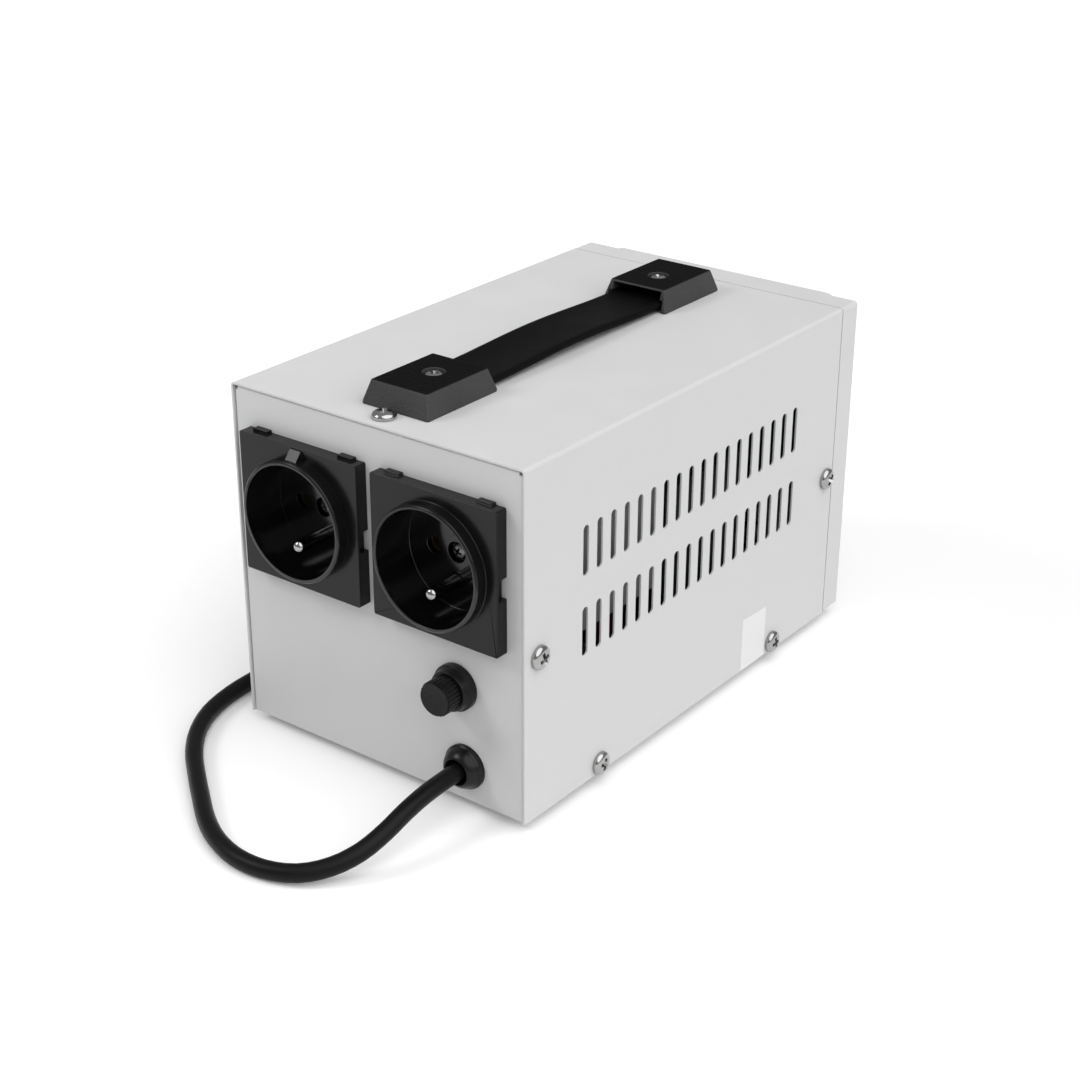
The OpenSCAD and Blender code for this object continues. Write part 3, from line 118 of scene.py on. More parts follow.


# A finish with a fine grain in the bump, slow clouds in colour and gloss, and optional fine scratches.
# grain is the grain's size in mm, grainDepth its depth in mm. The top shade is painted shade: it darkens the
# colour of what faces up, and also dulls its gloss.
def surface(name, colour, rough, metal=0.0, grain=0.35, grainDepth=0.02, grainKind="noise", cloud=0.03,
            roughSpread=0.08, coat=0.0, specular=0.5, scratches=0.0, paintedTopShade=1.0):
    material = bpy.data.materials.new(name)
    material.use_nodes = True
    n = Nodes(material.node_tree)
    out = n.add("ShaderNodeOutputMaterial")
    shader = n.add("ShaderNodeBsdfPrincipled", {
        "Metallic": metal, "Coat Weight": coat, "Coat Roughness": pattern["coatRough"],
        "Specular IOR Level": specular})
    n.link(shader.outputs[0], out.inputs["Surface"])
    where = n.add("ShaderNodeTexCoord").outputs["Object"]
    clouds = n.add("ShaderNodeTexNoise", {"Scale": pattern["cloudScale"], "Detail": 4.0, "Roughness": 0.6})
    n.link(where, clouds.inputs["Vector"])
    shade = mapped(n, clouds.outputs["Fac"], pattern["cloudRange"], (1 - cloud, 1 + cloud))
    # Painted shade: faces that point up get a darker colour, and less gloss.
    if paintedTopShade != 1:
        facing = n.add("ShaderNodeNewGeometry")
        parts = n.add("ShaderNodeSeparateXYZ")
        product = n.add("ShaderNodeMath", operation="MULTIPLY")
        gleam = n.add("ShaderNodeMath", operation="MULTIPLY")
        gleam.inputs[1].default_value = specular
        n.link(facing.outputs["Normal"], parts.inputs[0])
        shadeAndDull = mapped(n, parts.outputs["Z"], pattern["paintedTopRange"], (1.0, paintedTopShade))
        n.link(shade, product.inputs[0])
        n.link(shadeAndDull, product.inputs[1])
        n.link(shadeAndDull, gleam.inputs[0])
        n.link(gleam.outputs[0], shader.inputs["Specular IOR Level"])
        shade = product.outputs[0]
    tint = n.add("ShaderNodeVectorMath", operation="SCALE")
    tint.inputs[0].default_value = colour
    n.link(shade, tint.inputs["Scale"])
    n.link(tint.outputs[0], shader.inputs["Base Color"])
    spread = (rough - roughSpread, rough + roughSpread)
    gloss = mapped(n, clouds.outputs["Fac"], pattern["glossRange"], spread)
    n.link(gloss, shader.inputs["Roughness"])
    if grainKind == "cells":
        fine = n.add("ShaderNodeTexVoronoi", {"Scale": 1000 / grain}, feature="SMOOTH_F1")
    else:
        fine = n.add("ShaderNodeTexNoise", {"Scale": 1000 / grain, "Detail": 2.0, "Roughness": 0.5})
    n.link(where, fine.inputs["Vector"])
    height = fine.outputs[0]
    if scratches:
        stretch = n.add("ShaderNodeMapping", {"Scale": pattern["scratchScale"]})
        lines = n.add("ShaderNodeTexNoise", {"Scale": 1.0, "Detail": 3.0})
        n.link(where, stretch.inputs["Vector"])
        n.link(stretch.outputs[0], lines.inputs["Vector"])
        both = n.add("ShaderNodeMix", {"Factor": scratches})
        n.link(height, both.inputs["A"])
        n.link(lines.outputs[0], both.inputs["B"])
        height = both.outputs["Result"]
    bump = n.add("ShaderNodeBump", {"Strength": 1.0, "Distance": grainDepth * mm})
    n.link(height, bump.inputs["Height"])
    n.link(bump.outputs[0], shader.inputs["Normal"])
    return material


finishes = {
    "case_paint": surface("paintedSteel", (0.66, 0.66, 0.665), 0.42, grain=0.5, grainDepth=0.006,
                          cloud=0.012),
    "front_plastic": surface("frontPlastic", (0.66, 0.66, 0.665), 0.4, grain=0.35, grainDepth=0.006,
                             cloud=0.01),
    "outlet_plastic": surface("outletPlastic", (0.006, 0.006, 0.0062), 0.22, grain=0.8,
                              grainDepth=0.001, cloud=0.1, roughSpread=0.03, specular=0.25),
    # Painted shade: the recess's colour is darker than the plate's, for the shade inside it.
    "outlet_recess_painted_shade": surface("outletRecessPaintedShade", (0.0025, 0.0025, 0.0026), 0.12, grain=0.8,
                             grainDepth=0.001, cloud=0.1, roughSpread=0.03, specular=0.4),
    # Painted highlight: the lip's colour is a little lighter than the plate's, so that its rim shows as a
    # bright line.
    "outlet_lip_painted_highlight": surface("outletLipPaintedHighlight", (0.008, 0.008, 0.0082), 0.25, grain=0.8, grainDepth=0.001,
                          cloud=0.1, roughSpread=0.03, specular=0.5),
    # The handle caps carry painted shade: their tops are darkened to a tenth of the sides' colour.
    "handle_plastic": surface("handlePlastic", (0.04, 0.04, 0.041), 0.6, grain=0.8, grainDepth=0.25,
                              grainKind="cells", cloud=0.2, specular=0.4, paintedTopShade=0.1),
    "strap_rubber": surface("strapRubber", (0.003, 0.003, 0.0031), 0.55, grain=0.3, grainDepth=0.006,
                            cloud=0.15, specular=0.06),
    "foot_rubber": surface("footRubber", (0.018, 0.018, 0.018), 0.75, grain=0.4, grainDepth=0.03,
                           cloud=0.15),
    "cord_jacket": surface("cordJacket", (0.004, 0.004, 0.0042), 0.42, grain=0.25, grainDepth=0.008,
                           cloud=0.12, specular=0.16),
    "small_plastic": surface("smallPlastic", (0.006, 0.006, 0.0063), 0.3, grain=0.5, grainDepth=0.004,
                             cloud=0.1, specular=0.24),
    "screw_steel": surface("platedScrew", (0.4, 0.4, 0.395), 0.14, metal=1.0, grain=0.3,
                           grainDepth=0.006, cloud=0.08, roughSpread=0.05),
    # Painted shade: the outlet screws, deep in the recess, get a darker and rougher steel than the other
    # screws.
    "dull_screw": surface("recessScrewPaintedShade", (0.16, 0.16, 0.165), 0.3, metal=1.0, grain=0.3, grainDepth=0.006,
                          cloud=0.2),
    # Painted shade: a darker grey for the inner side plates, which lie in shade behind the cover.
    "inner_sheet": surface("innerSheetPaintedShade", (0.24, 0.24, 0.245), 0.5, grain=0.4, grainDepth=0.004,
                           cloud=0.06),
    "sheet_steel": surface("sheetSteel", (0.52, 0.52, 0.53), 0.38, metal=1.0, grain=0.3,
                           grainDepth=0.006, scratches=0.6),
    "core_steel": surface("coreSteel", (0.045, 0.045, 0.05), 0.55, metal=0.6, grain=0.5,
                          grainDepth=0.03, cloud=0.2),
    "contact_brass": surface("contactBrass", (0.2, 0.155, 0.085), 0.5, metal=1.0, grain=0.3,
                             grainDepth=0.004, cloud=0.08),
    "winding_copper": surface("windingVarnish", (0.12, 0.03, 0.012), 0.35, grain=0.5, grainDepth=0.05,
                              cloud=0.3),
    "bobbin_nylon": surface("bobbinNylon", (0.3, 0.28, 0.24), 0.5, grain=0.5, grainDepth=0.01,
                            cloud=0.1),
    "board": surface("circuitBoard", (0.015, 0.09, 0.04), 0.35, grain=1.2, grainDepth=0.01, cloud=0.2),
    "relay_case": surface("relayCase", (0.02, 0.05, 0.16), 0.25, grain=0.6, grainDepth=0.004,
                          cloud=0.1),
    "window_lens": surface("windowLens", (0.01, 0.01, 0.012), 0.06, grain=2.0, grainDepth=0.001,
                           cloud=0.05, roughSpread=0.02, coat=0.6),
    "light_red": surface("indicatorLight", (0.45, 0.03, 0.015), 0.15, grain=0.8, grainDepth=0.002,
                         cloud=0.1, roughSpread=0.03),
    "fuse_metal": surface("fuseMetal", (0.7, 0.7, 0.69), 0.2, metal=1.0, grain=0.4, grainDepth=0.003,
                          cloud=0.06),
    "wire_cover": surface("wireCover", (0.12, 0.05, 0.03), 0.4, grain=0.3, grainDepth=0.006,
                          cloud=0.15),
}
for part in frame["record"]["subparts"]:
    obj = nodes[part["node"]]
    obj.data.materials.clear()
    obj.data.materials.append(finishes[part["material_slot"]])
print("finishes made")

# Building helpers


# Gives an object the finish of a slot and its body, and hides the solids that it stands for.
def dress(obj, body, slot, *stands):
    obj.data.materials.clear()
    obj.data.materials.append(finishes[slot])
    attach(obj, body)
    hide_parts(*stands)


def newObject(name, data):
    obj = bpy.data.objects.new(name, data)
    scene.collection.objects.link(obj)
    return obj


def meshFrom(name, points, faces):
    mesh = bpy.data.meshes.new(name)
    mesh.from_pydata([tuple(p) for p in points], [], faces)
    mesh.validate()
    return mesh


def smooth(mesh, angle=35):
    mesh.shade_smooth()
    mesh.set_sharp_from_angle(angle=math.radians(angle))


def outward(mesh):
    b = bmesh.new()
    b.from_mesh(mesh)
    bmesh.ops.remove_doubles(b, verts=b.verts, dist=1e-7)
    bmesh.ops.recalc_face_normals(b, faces=b.faces)
    b.to_mesh(mesh)
    b.free()


# Turns an object into a plain mesh, without its modifiers.
def bake(obj):
    graph = bpy.context.evaluated_depsgraph_get()
    mesh = bpy.data.meshes.new_from_object(obj.evaluated_get(graph))
    obj.modifiers.clear()
    old = obj.data
    obj.data = mesh
    bpy.data.meshes.remove(old)


# The side and end faces of a prism whose points are two rings of count points.
def prismFaces(count):
    faces = [(k, (k + 1) % count, (k + 1) % count + count, k + count) for k in range(count)]
    return faces + [tuple(range(count - 1, -1, -1)), tuple(range(count, 2 * count))]


# Cuts a prism with the given points out of an object.
def cutPrism(obj, points):
    mesh = meshFrom("cutter", points, prismFaces(len(points) // 2))
    outward(mesh)
    cutter = newObject("cutter", mesh)
    cut = obj.modifiers.new("cut", "BOOLEAN")
    cut.object = cutter
    cut.solver = "EXACT"
    bake(obj)
    bpy.data.objects.remove(cutter)


# A copy of a solid's mesh with its loose triangles joined and its flat faces whole.
def merged(source):
    mesh = nodes[source].data.copy()
    b = bmesh.new()
    b.from_mesh(mesh)
    bmesh.ops.remove_doubles(b, verts=b.verts, dist=2e-6)
    bmesh.ops.dissolve_limit(b, angle_limit=math.radians(0.6), verts=b.verts, edges=b.edges)
    b.to_mesh(mesh)
    b.free()
    return mesh


# Stands for a solid, with its edges rounded so that they catch the light. Angles are in degrees.
edges = {"segments": 3, "angle": 40, "weight": 100, "threshold": 0.01}


def rounded(name, source, body, slot, width):
    obj = newObject(name, merged(source))
    bevel = obj.modifiers.new("bevel", "BEVEL")
    bevel.width = width * mm
    bevel.segments = edges["segments"]
    bevel.limit_method = "ANGLE"
    bevel.angle_limit = math.radians(edges["angle"])
    bevel.use_clamp_overlap = True
    obj.data.shade_smooth()
    even = obj.modifiers.new("even", "WEIGHTED_NORMAL")
    even.mode = "FACE_AREA"
    even.weight = edges["weight"]
    even.thresh = edges["threshold"]
    bake(obj)
    dress(obj, body, slot, source)
    return obj


# A closed turned form. outline is a list of (radius, height) in mm along axis, starting and ending on it.
def lathe(name, outline, place, axis, steps):
    z = Vector(axis).normalized()
    x = Vector((0, 0, 1)).cross(z) if abs(z.z) < 0.9 else Vector((1, 0, 0))
    x.normalize()
    y = z.cross(x)
    points, faces, rings = [], [], []
    for r, h in outline:
        ring = []
        count = 1 if r < 1e-6 else steps
        for k in range(count):
            a = 2 * math.pi * k / steps
            ring.append(len(points))
            points.append(place + (x * math.cos(a) * r + y * math.sin(a) * r + z * h) * mm)
        rings.append(ring)
    for a, b in zip(rings, rings[1:]):
        for k in range(steps):
            j = (k + 1) % steps
            if len(a) == 1 and len(b) == 1:
                continue
            if len(a) == 1:
                faces.append((a[0], b[k], b[j]))
            elif len(b) == 1:
                faces.append((a[k], b[0], a[j]))
            else:
                faces.append((a[k], b[k], b[j], a[j]))
    mesh = meshFrom(name, points, faces)
    outward(mesh)
    return mesh


# Points of an arc in the lathe's outline plane, angles in degrees.
def arc(cx, cy, r, start, end, steps):
    turns = [math.radians(start + (end - start) * i / steps) for i in range(steps + 1)]
    return [(cx + r * math.cos(a), cy + r * math.sin(a)) for a in turns]


# Supply cord. The route repeats the one in the part's source, in mm.
cord = {
    "diameter": 6.4,
    "start": (-37.3, 100, 17.3),
    "exit": [(-37.3, 109.5, 17.2), (-37.3, 119.5, 16.7), (-37.3, 129.5, 15.1), (-36.9, 139.5, 12.1),
             (-34.8, 149, 8.7), (-29.8, 157.5, 5.7), (-22, 164.8, 3.9)],
    "bend": [(-11, 169), (1, 169.5), (13, 166), (24, 160), (36, 151), (48, 141.5), (59, 132), (68, 121.5),
             (74.5, 109.5), (78, 96), (79, 82), (78.5, 66), (77.5, 48), (76.5, 28), (76, 6), (76, -15)],
    "coil": {"x": 122, "y": -44, "radius": 46, "turns": 4, "rings": 24, "pitch": 8.1, "rise": 8.1,
             "climb": 0.25},
    "tail": [(76, -54, 11.3), (76.1, -58, 11.5), (76.9, -64, 12.4), (78.8, -71.5, 14.4), (81, -79, 16.4),
             (82.3, -84.5, 17.6), (82.9, -88.5, 18.2), (83, -91, 18.3), (83, -92, 18.3)],
    "softness": 3, "roundness": 5,
}


def coilPoint(c, t, floor):
    r = c["radius"] - c["pitch"] * min(t, c["turns"] - t)
    up = (t - c["turns"] / 2 + c["climb"]) / (2 * c["climb"])
    a = math.radians(180 + 360 * t)
    height = floor + c["rise"] * min(1, max(0, up))
    return (c["x"] + r * math.cos(a), c["y"] + r * math.sin(a), height)


def cordRoute(c):
    floor = c["diameter"] / 2
    coil = c["coil"]
    points = [c["start"]] + c["exit"] + [(x, y, floor) for x, y in c["bend"]]
    points.append((coil["x"] - coil["radius"], coil["y"] + c["diameter"], floor))
    count = coil["turns"] * coil["rings"]
    points += [coilPoint(coil, i / coil["rings"], floor) for i in range(count + 1)]
    points.append((coil["x"] - coil["radius"], coil["y"] - c["diameter"], floor + coil["rise"]))
    return [Vector(p) * mm for p in points + c["tail"]]


# A smooth line through the points.
def softened(points, steps):
    line = []
    for i in range(len(points) - 1):
        p0, p1, p2, p3 = (points[max(0, min(len(points) - 1, i + k))] for k in (-1, 0, 1, 2))
        for s in range(steps):
            t = s / steps
            line.append(0.5 * (2 * p1 + (p2 - p0) * t + (2 * p0 - 5 * p1 + 4 * p2 - p3) * t * t
                               + (3 * p1 - p0 - 3 * p2 + p3) * t ** 3))
    return line + [points[-1]]


def addCord(c):
    line = softened(cordRoute(c), c["softness"])
    curve = bpy.data.curves.new("supplyCord", "CURVE")
    curve.dimensions = "3D"
    curve.bevel_depth = c["diameter"] / 2 * mm
    curve.bevel_resolution = c["roundness"]
    curve.use_fill_caps = True
    spline = curve.splines.new("POLY")
    spline.points.add(len(line) - 1)
    for point, place in zip(spline.points, line):
        point.co = (*place, 1)
    obj = newObject("supplyCord", curve)
    dress(obj, "case", "cord_jacket", "power_cord", "cord_coil", "cord_tail")
    length = sum((b - a).length for a, b in zip(line, line[1:]))
    print("cord", round(length, 4), "m")
    return obj, length


cordObj, cordLength = addCord(cord)

# Plug at the cord's end, with its strain relief and pins. Heights run along the plug from its neck.
plug = {
    "place": (83, -120, 18.3), "length": 34, "radius": 18.2, "steps": 72,
    "neck": 11.0, "neckRound": 1.5, "fillet": 2, "filletHeight": 6, "shoulder": 3, "shoulderHeight": 15,
    "barrel": 18, "groove": (24, 24.3, 25.0, 25.3), "grooveDepth": 0.35, "rim": 1.2,
    "faceGroove": (3, 3.3, 3.8, 4.1), "faceGrooveDepth": 0.4,
    "relief": {"length": 28, "rings": 9, "tip": 4.5, "growth": 2.5, "share": 0.62, "step": 0.6, "slope": 0.3,
               "foot": 7, "steps": 40},
    "pin": {"neck": 2.0, "radius": 2.4, "seat": 0.5, "neckEnd": 9, "shoulder": 9.6, "side": 17.4, "tip": 1.2,
            "tipStart": 17.8, "length": 19, "spread": 9.5, "steps": 32},
}


def plugOutline(p):
    r, n, l = p["radius"], p["neck"], p["length"]
    g, f = p["groove"], p["faceGroove"]
    low, deep = r - p["grooveDepth"], l - p["faceGrooveDepth"]
    line = [(0, 0)] + arc(n - p["neckRound"], p["neckRound"], p["neckRound"], -90, 0, 5)
    line += arc(n + p["fillet"], p["filletHeight"], p["fillet"], 180, 120, 5)
    line += arc(r - p["shoulder"], p["shoulderHeight"], p["shoulder"], 60, 0, 6)
    line += [(r, p["barrel"]), (r, g[0]), (low, g[1]), (low, g[2]), (r, g[3])]
    line += arc(r - p["rim"], l - p["rim"], p["rim"], 0, 90, 5)
    return line + [(r - f[0], l), (r - f[1], deep), (r - f[2], deep), (r - f[3], l), (0, l)]


# A cone of rings with narrow gaps between them.
def reliefOutline(s):
    line = [(0, -s["length"])]
    for i in range(s["rings"]):
        start, end, after = (k / s["rings"] for k in (i, i + s["share"], i + 1))
        top = s["tip"] + s["growth"] * end
        line += [(s["tip"] + s["growth"] * start, s["length"] * (start - 1)), (top, s["length"] * (end - 1)),
                 (top - s["step"], s["length"] * (end - 1) + s["slope"]),
                 (s["tip"] + s["growth"] * after - s["step"], s["length"] * (after - 1) - s["slope"])]
    return line + [(s["foot"], 0), (0, 0)]


def pinOutline(s, face):
    line = [(0, face - s["seat"]), (s["neck"], face - s["seat"]), (s["neck"], face + s["neckEnd"]),
            (s["radius"], face + s["shoulder"]), (s["radius"], face + s["side"])]
    return line + arc(s["tip"], face + s["tipStart"], s["tip"], 0, 90, 4) + [(0, face + s["length"])]


def addPlug(p):
    place = Vector(p["place"]) * mm
    mesh = lathe("plugBody", plugOutline(p), place, (0, -1, 0), p["steps"])
    smooth(mesh)
    dress(newObject("plugBody", mesh), "case", "cord_jacket", "plug_body")
    mesh = lathe("plugRelief", reliefOutline(p["relief"]), place, (0, -1, 0), p["relief"]["steps"])
    smooth(mesh, 40)
    dress(newObject("plugRelief", mesh), "case", "cord_jacket", "plug_strain_relief")
    points, faces = [], []
    for side in (-1, 1):
        root = place + Vector((side * p["pin"]["spread"], 0, 0)) * mm
        part = lathe("pin", pinOutline(p["pin"], p["length"]), root, (0, -1, 0), p["pin"]["steps"])
        start = len(points)
        points += [v.co.copy() for v in part.vertices]
        faces += [tuple(start + i for i in f.vertices) for f in part.polygons]
        bpy.data.meshes.remove(part)
    mesh = meshFrom("plugPins", points, faces)
    smooth(mesh)
    dress(newObject("plugPins", mesh), "case", "screw_steel", "plug_pins")


addPlug(plug)
print("cord and plug made")

# Case: edges with a small radius so that they catch the light, as solid, finish and radius in mm
casePieces = {
    "cover": ("top_cover", "case_paint", 0.14),
    "chassis": ("base_chassis", "case_paint", 0.2),
    "bezel": ("front_bezel", "front_plastic", 0.6),
    "switchFrame": ("power_switch_body", "small_plastic", 0.4),
    "delayFrame": ("delay_switch_body", "small_plastic", 0.4),
    "lens": ("display_window", "window_lens", 0.25),
    "feet": ("rubber_feet", "foot_rubber", 0.6),
    "fuseBody": ("fuse_holder_body", "small_plastic", 0.4),
    "outletLeft": ("outlet_body_left", "outlet_plastic", 0.35),
    "outletRight": ("outlet_body_right", "outlet_plastic", 0.35),
    "capRear": ("handle_cap_rear", "handle_plastic", 0.35),
    "capFront": ("handle_cap_front", "handle_plastic", 0.35),
}
innerPlate = {"from": 52.5, "to": 54.7, "behind": -3}
outlet = {"x": 29.1, "z": 87.2, "bore": 40.5, "collar": 43.5, "front": 9.2, "lip": 0.9, "inside": -3.0,
          "slack": 0.05}


# The inner side plates, seen through the slots, carry painted shade: a darker grey than the case paint, for
# the shade behind the cover.
def shadeInnerPlates(piece, s):
    piece.data.materials.append(finishes["inner_sheet"])
    for face in piece.data.polygons:
        if s["from"] < abs(face.center.x) / mm < s["to"] and face.center.y < inCase(0, s["behind"], 0).y:
            face.material_index = 1


# The recess carries painted shade: a darker colour than the plate, and more gloss. The lip carries a painted
# highlight:
# a slightly lighter colour, and more gloss. The circles that sort the faces have their centre below the
# outlet's axis, by the height of the feet. So the top of the bore is left out, and the underside of the
# collar is taken in.
def recessShadeAndLipHighlight(piece, s):
    piece.data.materials.append(finishes["outlet_recess_painted_shade"])
    piece.data.materials.append(finishes["outlet_lip_painted_highlight"])
    bore, collar = s["bore"] / 2 + s["slack"], s["collar"] / 2 + s["slack"]
    for face in piece.data.polygons:
        radius = math.hypot(abs(face.center.x) / mm - s["x"], face.center.z / mm - s["z"])
        out = (face.center.y - inCase(0, 0, 0).y) / mm
        if radius < bore and (abs(face.normal.y) < 0.5 or out < s["inside"]):
            face.material_index = 1
        elif radius < collar and out > s["front"] - s["lip"]:
            face.material_index = 2


for name, (source, slot, width) in casePieces.items():
    piece = rounded(name, source, "case", slot, width)
    if name == "chassis":
        shadeInnerPlates(piece, innerPlate)
    if name.startswith("outlet"):
        recessShadeAndLipHighlight(piece, outlet)
rounded("rocker", "power_rocker", "rocker", "small_plastic", 0.5)
rounded("delayCap", "delay_button", "delay_cap", "small_plastic", 0.5)
rounded("fuseKnob", "fuse_cap", "fuse_knob", "small_plastic", 0.25)
print("case pieces rounded")

# Strap: four lengths, one over each hinge, with seams in the middle of the arms and of the grip
strap = {
    "width": 23.0, "thick": 2.6, "mid": 129.5, "edge": 0.9, "border": (2.2, 2.6), "borderHeight": 0.12,
    "arch": 1.3, "archFrom": -48.0, "archTo": -147.0, "step": 1.0,
    "stops": (-18.5, -67.5, -97.5, -127.5, -176.5), "pivots": (-50.5, -84.5, -110.5, -144.5), "reach": 5.0,
    "bodies": ("strap_rear", "strap_arm_rear", "strap_middle", "strap_arm_front", "strap_front"),
    "solids": ("strap_rear_end", "strap_rear_arm", "strap_grip", "strap_front_arm", "strap_front_end"),
    "slots": {0: (-32.0, 1), 3: (-163.0, -1)}, "slot": 4.7, "travel": 5.6, "slack": 0.8, "cut": 3,
}


# Half-round edges and a shallow raised border on top, as (x, z) in mm.
def strapSection(s):
    w, t, r = s["width"] / 2, s["thick"] / 2, s["edge"]
    outer, inner = (w - b for b in s["border"])
    low = t - s["borderHeight"]
    ring = arc(w - r, t - r, r, 0, 90, 4) + [(outer, t), (inner, low), (-inner, low), (-outer, t)]
    ring += arc(-w + r, t - r, r, 90, 180, 4) + arc(-w + r, -t + r, r, 180, 270, 4)
    return ring + arc(w - r, -t + r, r, 270, 360, 4)


# One length of the strap between two places along the case.
def strapMesh(s, start, end):
    section = strapSection(s)
    n = len(section)
    count = int(abs(end - start) / s["step"])
    points, faces = [], []
    for k in range(count + 1):
        y = start + (end - start) * k / count
        t = min(1, max(0, (y - s["archFrom"]) / (s["archTo"] - s["archFrom"])))
        height = s["mid"] + s["arch"] * math.sin(math.pi * t) ** 2
        points += [inCase(x, y, height + z) for x, z in section]
    for k in range(count):
        for j in range(n):
            a, b = k * n + j, k * n + (j + 1) % n
            faces.append((a, b, b + n, a + n))
    faces += [tuple(range(n - 1, -1, -1)), tuple(range(count * n, (count + 1) * n))]
    mesh = meshFrom("strapLength", points, faces)
    outward(mesh)
    return mesh


# The long hole that slides past the cap's screw. way is the side toward the strap's end.
def cutSlot(obj, s, screwY, way):
    r = s["slot"] / 2
    ends = sorted((screwY - way * s["slack"], screwY + way * s["travel"]))
    ring = arc(0, ends[1], r, 0, 180, 12) + arc(0, ends[0], r, 180, 360, 12)
    cutPrism(obj, [inCase(x, y, s["mid"] + z) for z in (-s["cut"], s["cut"]) for x, y in ring])


def addStrap(s):
    for i, pivot in enumerate(s["pivots"]):
        obj = newObject(f"strapLength{i + 1}", strapMesh(s, s["stops"][i], s["stops"][i + 1]))
        if i in s["slots"]:
            cutSlot(obj, s, *s["slots"][i])
        smooth(obj.data, 40)
        obj.data.materials.clear()
        obj.data.materials.append(finishes["strap_rubber"])
        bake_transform(obj)
        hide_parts(s["solids"][i], s["solids"][i + 1])


addStrap(strap)
print("strap made")

# Screws: one head drawn once, set on points by a node tree
screwHead = {"diameter": 7.0, "height": 2.2, "edge": 0.7, "under": 0.15, "lip": 0.2, "bow": 0.72, "rings": 10,
             "steps": 40, "arm": 2.3, "armWidth": 0.62, "armFoot": 0.45, "armNarrow": 0.8, "depth": 1.5,
             "above": 0.5, "shank": 2.9, "shankLength": 7.5, "tip": 0.4, "tipLength": 0.8}


def headMesh(s):
    r, h, e, low = s["diameter"] / 2, s["height"], s["edge"], -s["shankLength"]
    shank = s["shank"] / 2
    dome = [(0, low), (shank - s["tip"], low), (shank, low + s["tipLength"]), (shank, 0), (r - s["under"], 0),
            (r, s["lip"]), (r, e)]
    for i in range(1, s["rings"]):
        a = math.radians(90 * i / s["rings"])
        dome.append((r * math.cos(a) ** s["bow"], e + (h - e) * math.sin(a)))
    mesh = lathe("screwHead", dome + [(0, h)], Vector((0, 0, 0)), (0, 0, 1), s["steps"])
    obj = newObject("screwHead", mesh)
    long, wide = s["arm"], s["armWidth"]
    levels = ((long * s["armFoot"], wide * s["armNarrow"], h - s["depth"]), (long, wide, h + s["above"]))
    signs = ((-1, -1), (1, -1), (1, 1), (-1, 1))
    corners = [(x * u, y * v, z) for u, v, z in levels for x, y in signs]
    for turn in (0, 90):
        c, d = math.cos(math.radians(turn)), math.sin(math.radians(turn))
        cutPrism(obj, [Vector((x * c - y * d, x * d + y * c, z)) * mm for x, y, z in corners])
    smooth(obj.data, 40)
    obj.hide_render = True
    return obj


def screwTree():
    tree = bpy.data.node_groups.new("setScrews", "GeometryNodeTree")
    face = tree.interface
    face.new_socket("Geometry", in_out="INPUT", socket_type="NodeSocketGeometry")
    face.new_socket("Screw", in_out="INPUT", socket_type="NodeSocketObject")
    face.new_socket("Size", in_out="INPUT", socket_type="NodeSocketFloat")
    face.new_socket("Finish", in_out="INPUT", socket_type="NodeSocketMaterial")
    face.new_socket("Geometry", in_out="OUTPUT", socket_type="NodeSocketGeometry")
    n = Nodes(tree)
    given, out = n.add("NodeGroupInput"), n.add("NodeGroupOutput")
    head = n.add("GeometryNodeObjectInfo")
    facing = n.add("GeometryNodeInputNamedAttribute", {"Name": "facing"}, data_type="FLOAT_VECTOR")
    turn = n.add("GeometryNodeInputNamedAttribute", {"Name": "turn"}, data_type="FLOAT")
    align = n.add("FunctionNodeAlignRotationToVector", axis="Z")
    about = n.add("FunctionNodeAxisAngleToRotation", {"Axis": (0, 0, 1)})
    rotate = n.add("FunctionNodeRotateRotation", rotation_space="LOCAL")
    place = n.add("GeometryNodeInstanceOnPoints")
    real = n.add("GeometryNodeRealizeInstances")
    paint = n.add("GeometryNodeSetMaterial")
    n.link(given.outputs["Screw"], head.inputs["Object"])
    n.link(given.outputs["Geometry"], place.inputs["Points"])
    n.link(head.outputs["Geometry"], place.inputs["Instance"])
    n.link(facing.outputs[0], align.inputs["Vector"])
    n.link(turn.outputs[0], about.inputs["Angle"])
    n.link(align.outputs[0], rotate.inputs["Rotation"])
    n.link(about.outputs[0], rotate.inputs["Rotate By"])
    n.link(rotate.outputs[0], place.inputs["Rotation"])
    n.link(given.outputs["Size"], place.inputs["Scale"])
    n.link(place.outputs[0], real.inputs[0])
    n.link(real.outputs[0], paint.inputs["Geometry"])
    n.link(given.outputs["Finish"], paint.inputs["Material"])
    n.link(paint.outputs[0], out.inputs["Geometry"])
    return tree


# places is a list of (x, y, z, facing, turn in degrees) in the case's own frame.
def setScrews(name, places, size, stands, finish="screw_steel"):
    mesh = meshFrom(name, [inCase(*p[:3]) for p in places], [])
    facing = mesh.attributes.new("facing", "FLOAT_VECTOR", "POINT")
    facing.data.foreach_set("vector", [v for p in places for v in p[3]])
    turn = mesh.attributes.new("turn", "FLOAT", "POINT")
    turn.data.foreach_set("value", [math.radians(p[4]) for p in places])
    obj = newObject(name, mesh)
    modifier = obj.modifiers.new("screws", "NODES")
    modifier.node_group = tree
    ids = {item.name: item.identifier for item in tree.interface.items_tree if item.in_out == "INPUT"}
    modifier[ids["Screw"]] = head
    modifier[ids["Size"]] = size
    modifier[ids["Finish"]] = finishes[finish]
    bake(obj)
    smooth(obj.data, 40)
    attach(obj, "case")
    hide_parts(stands)


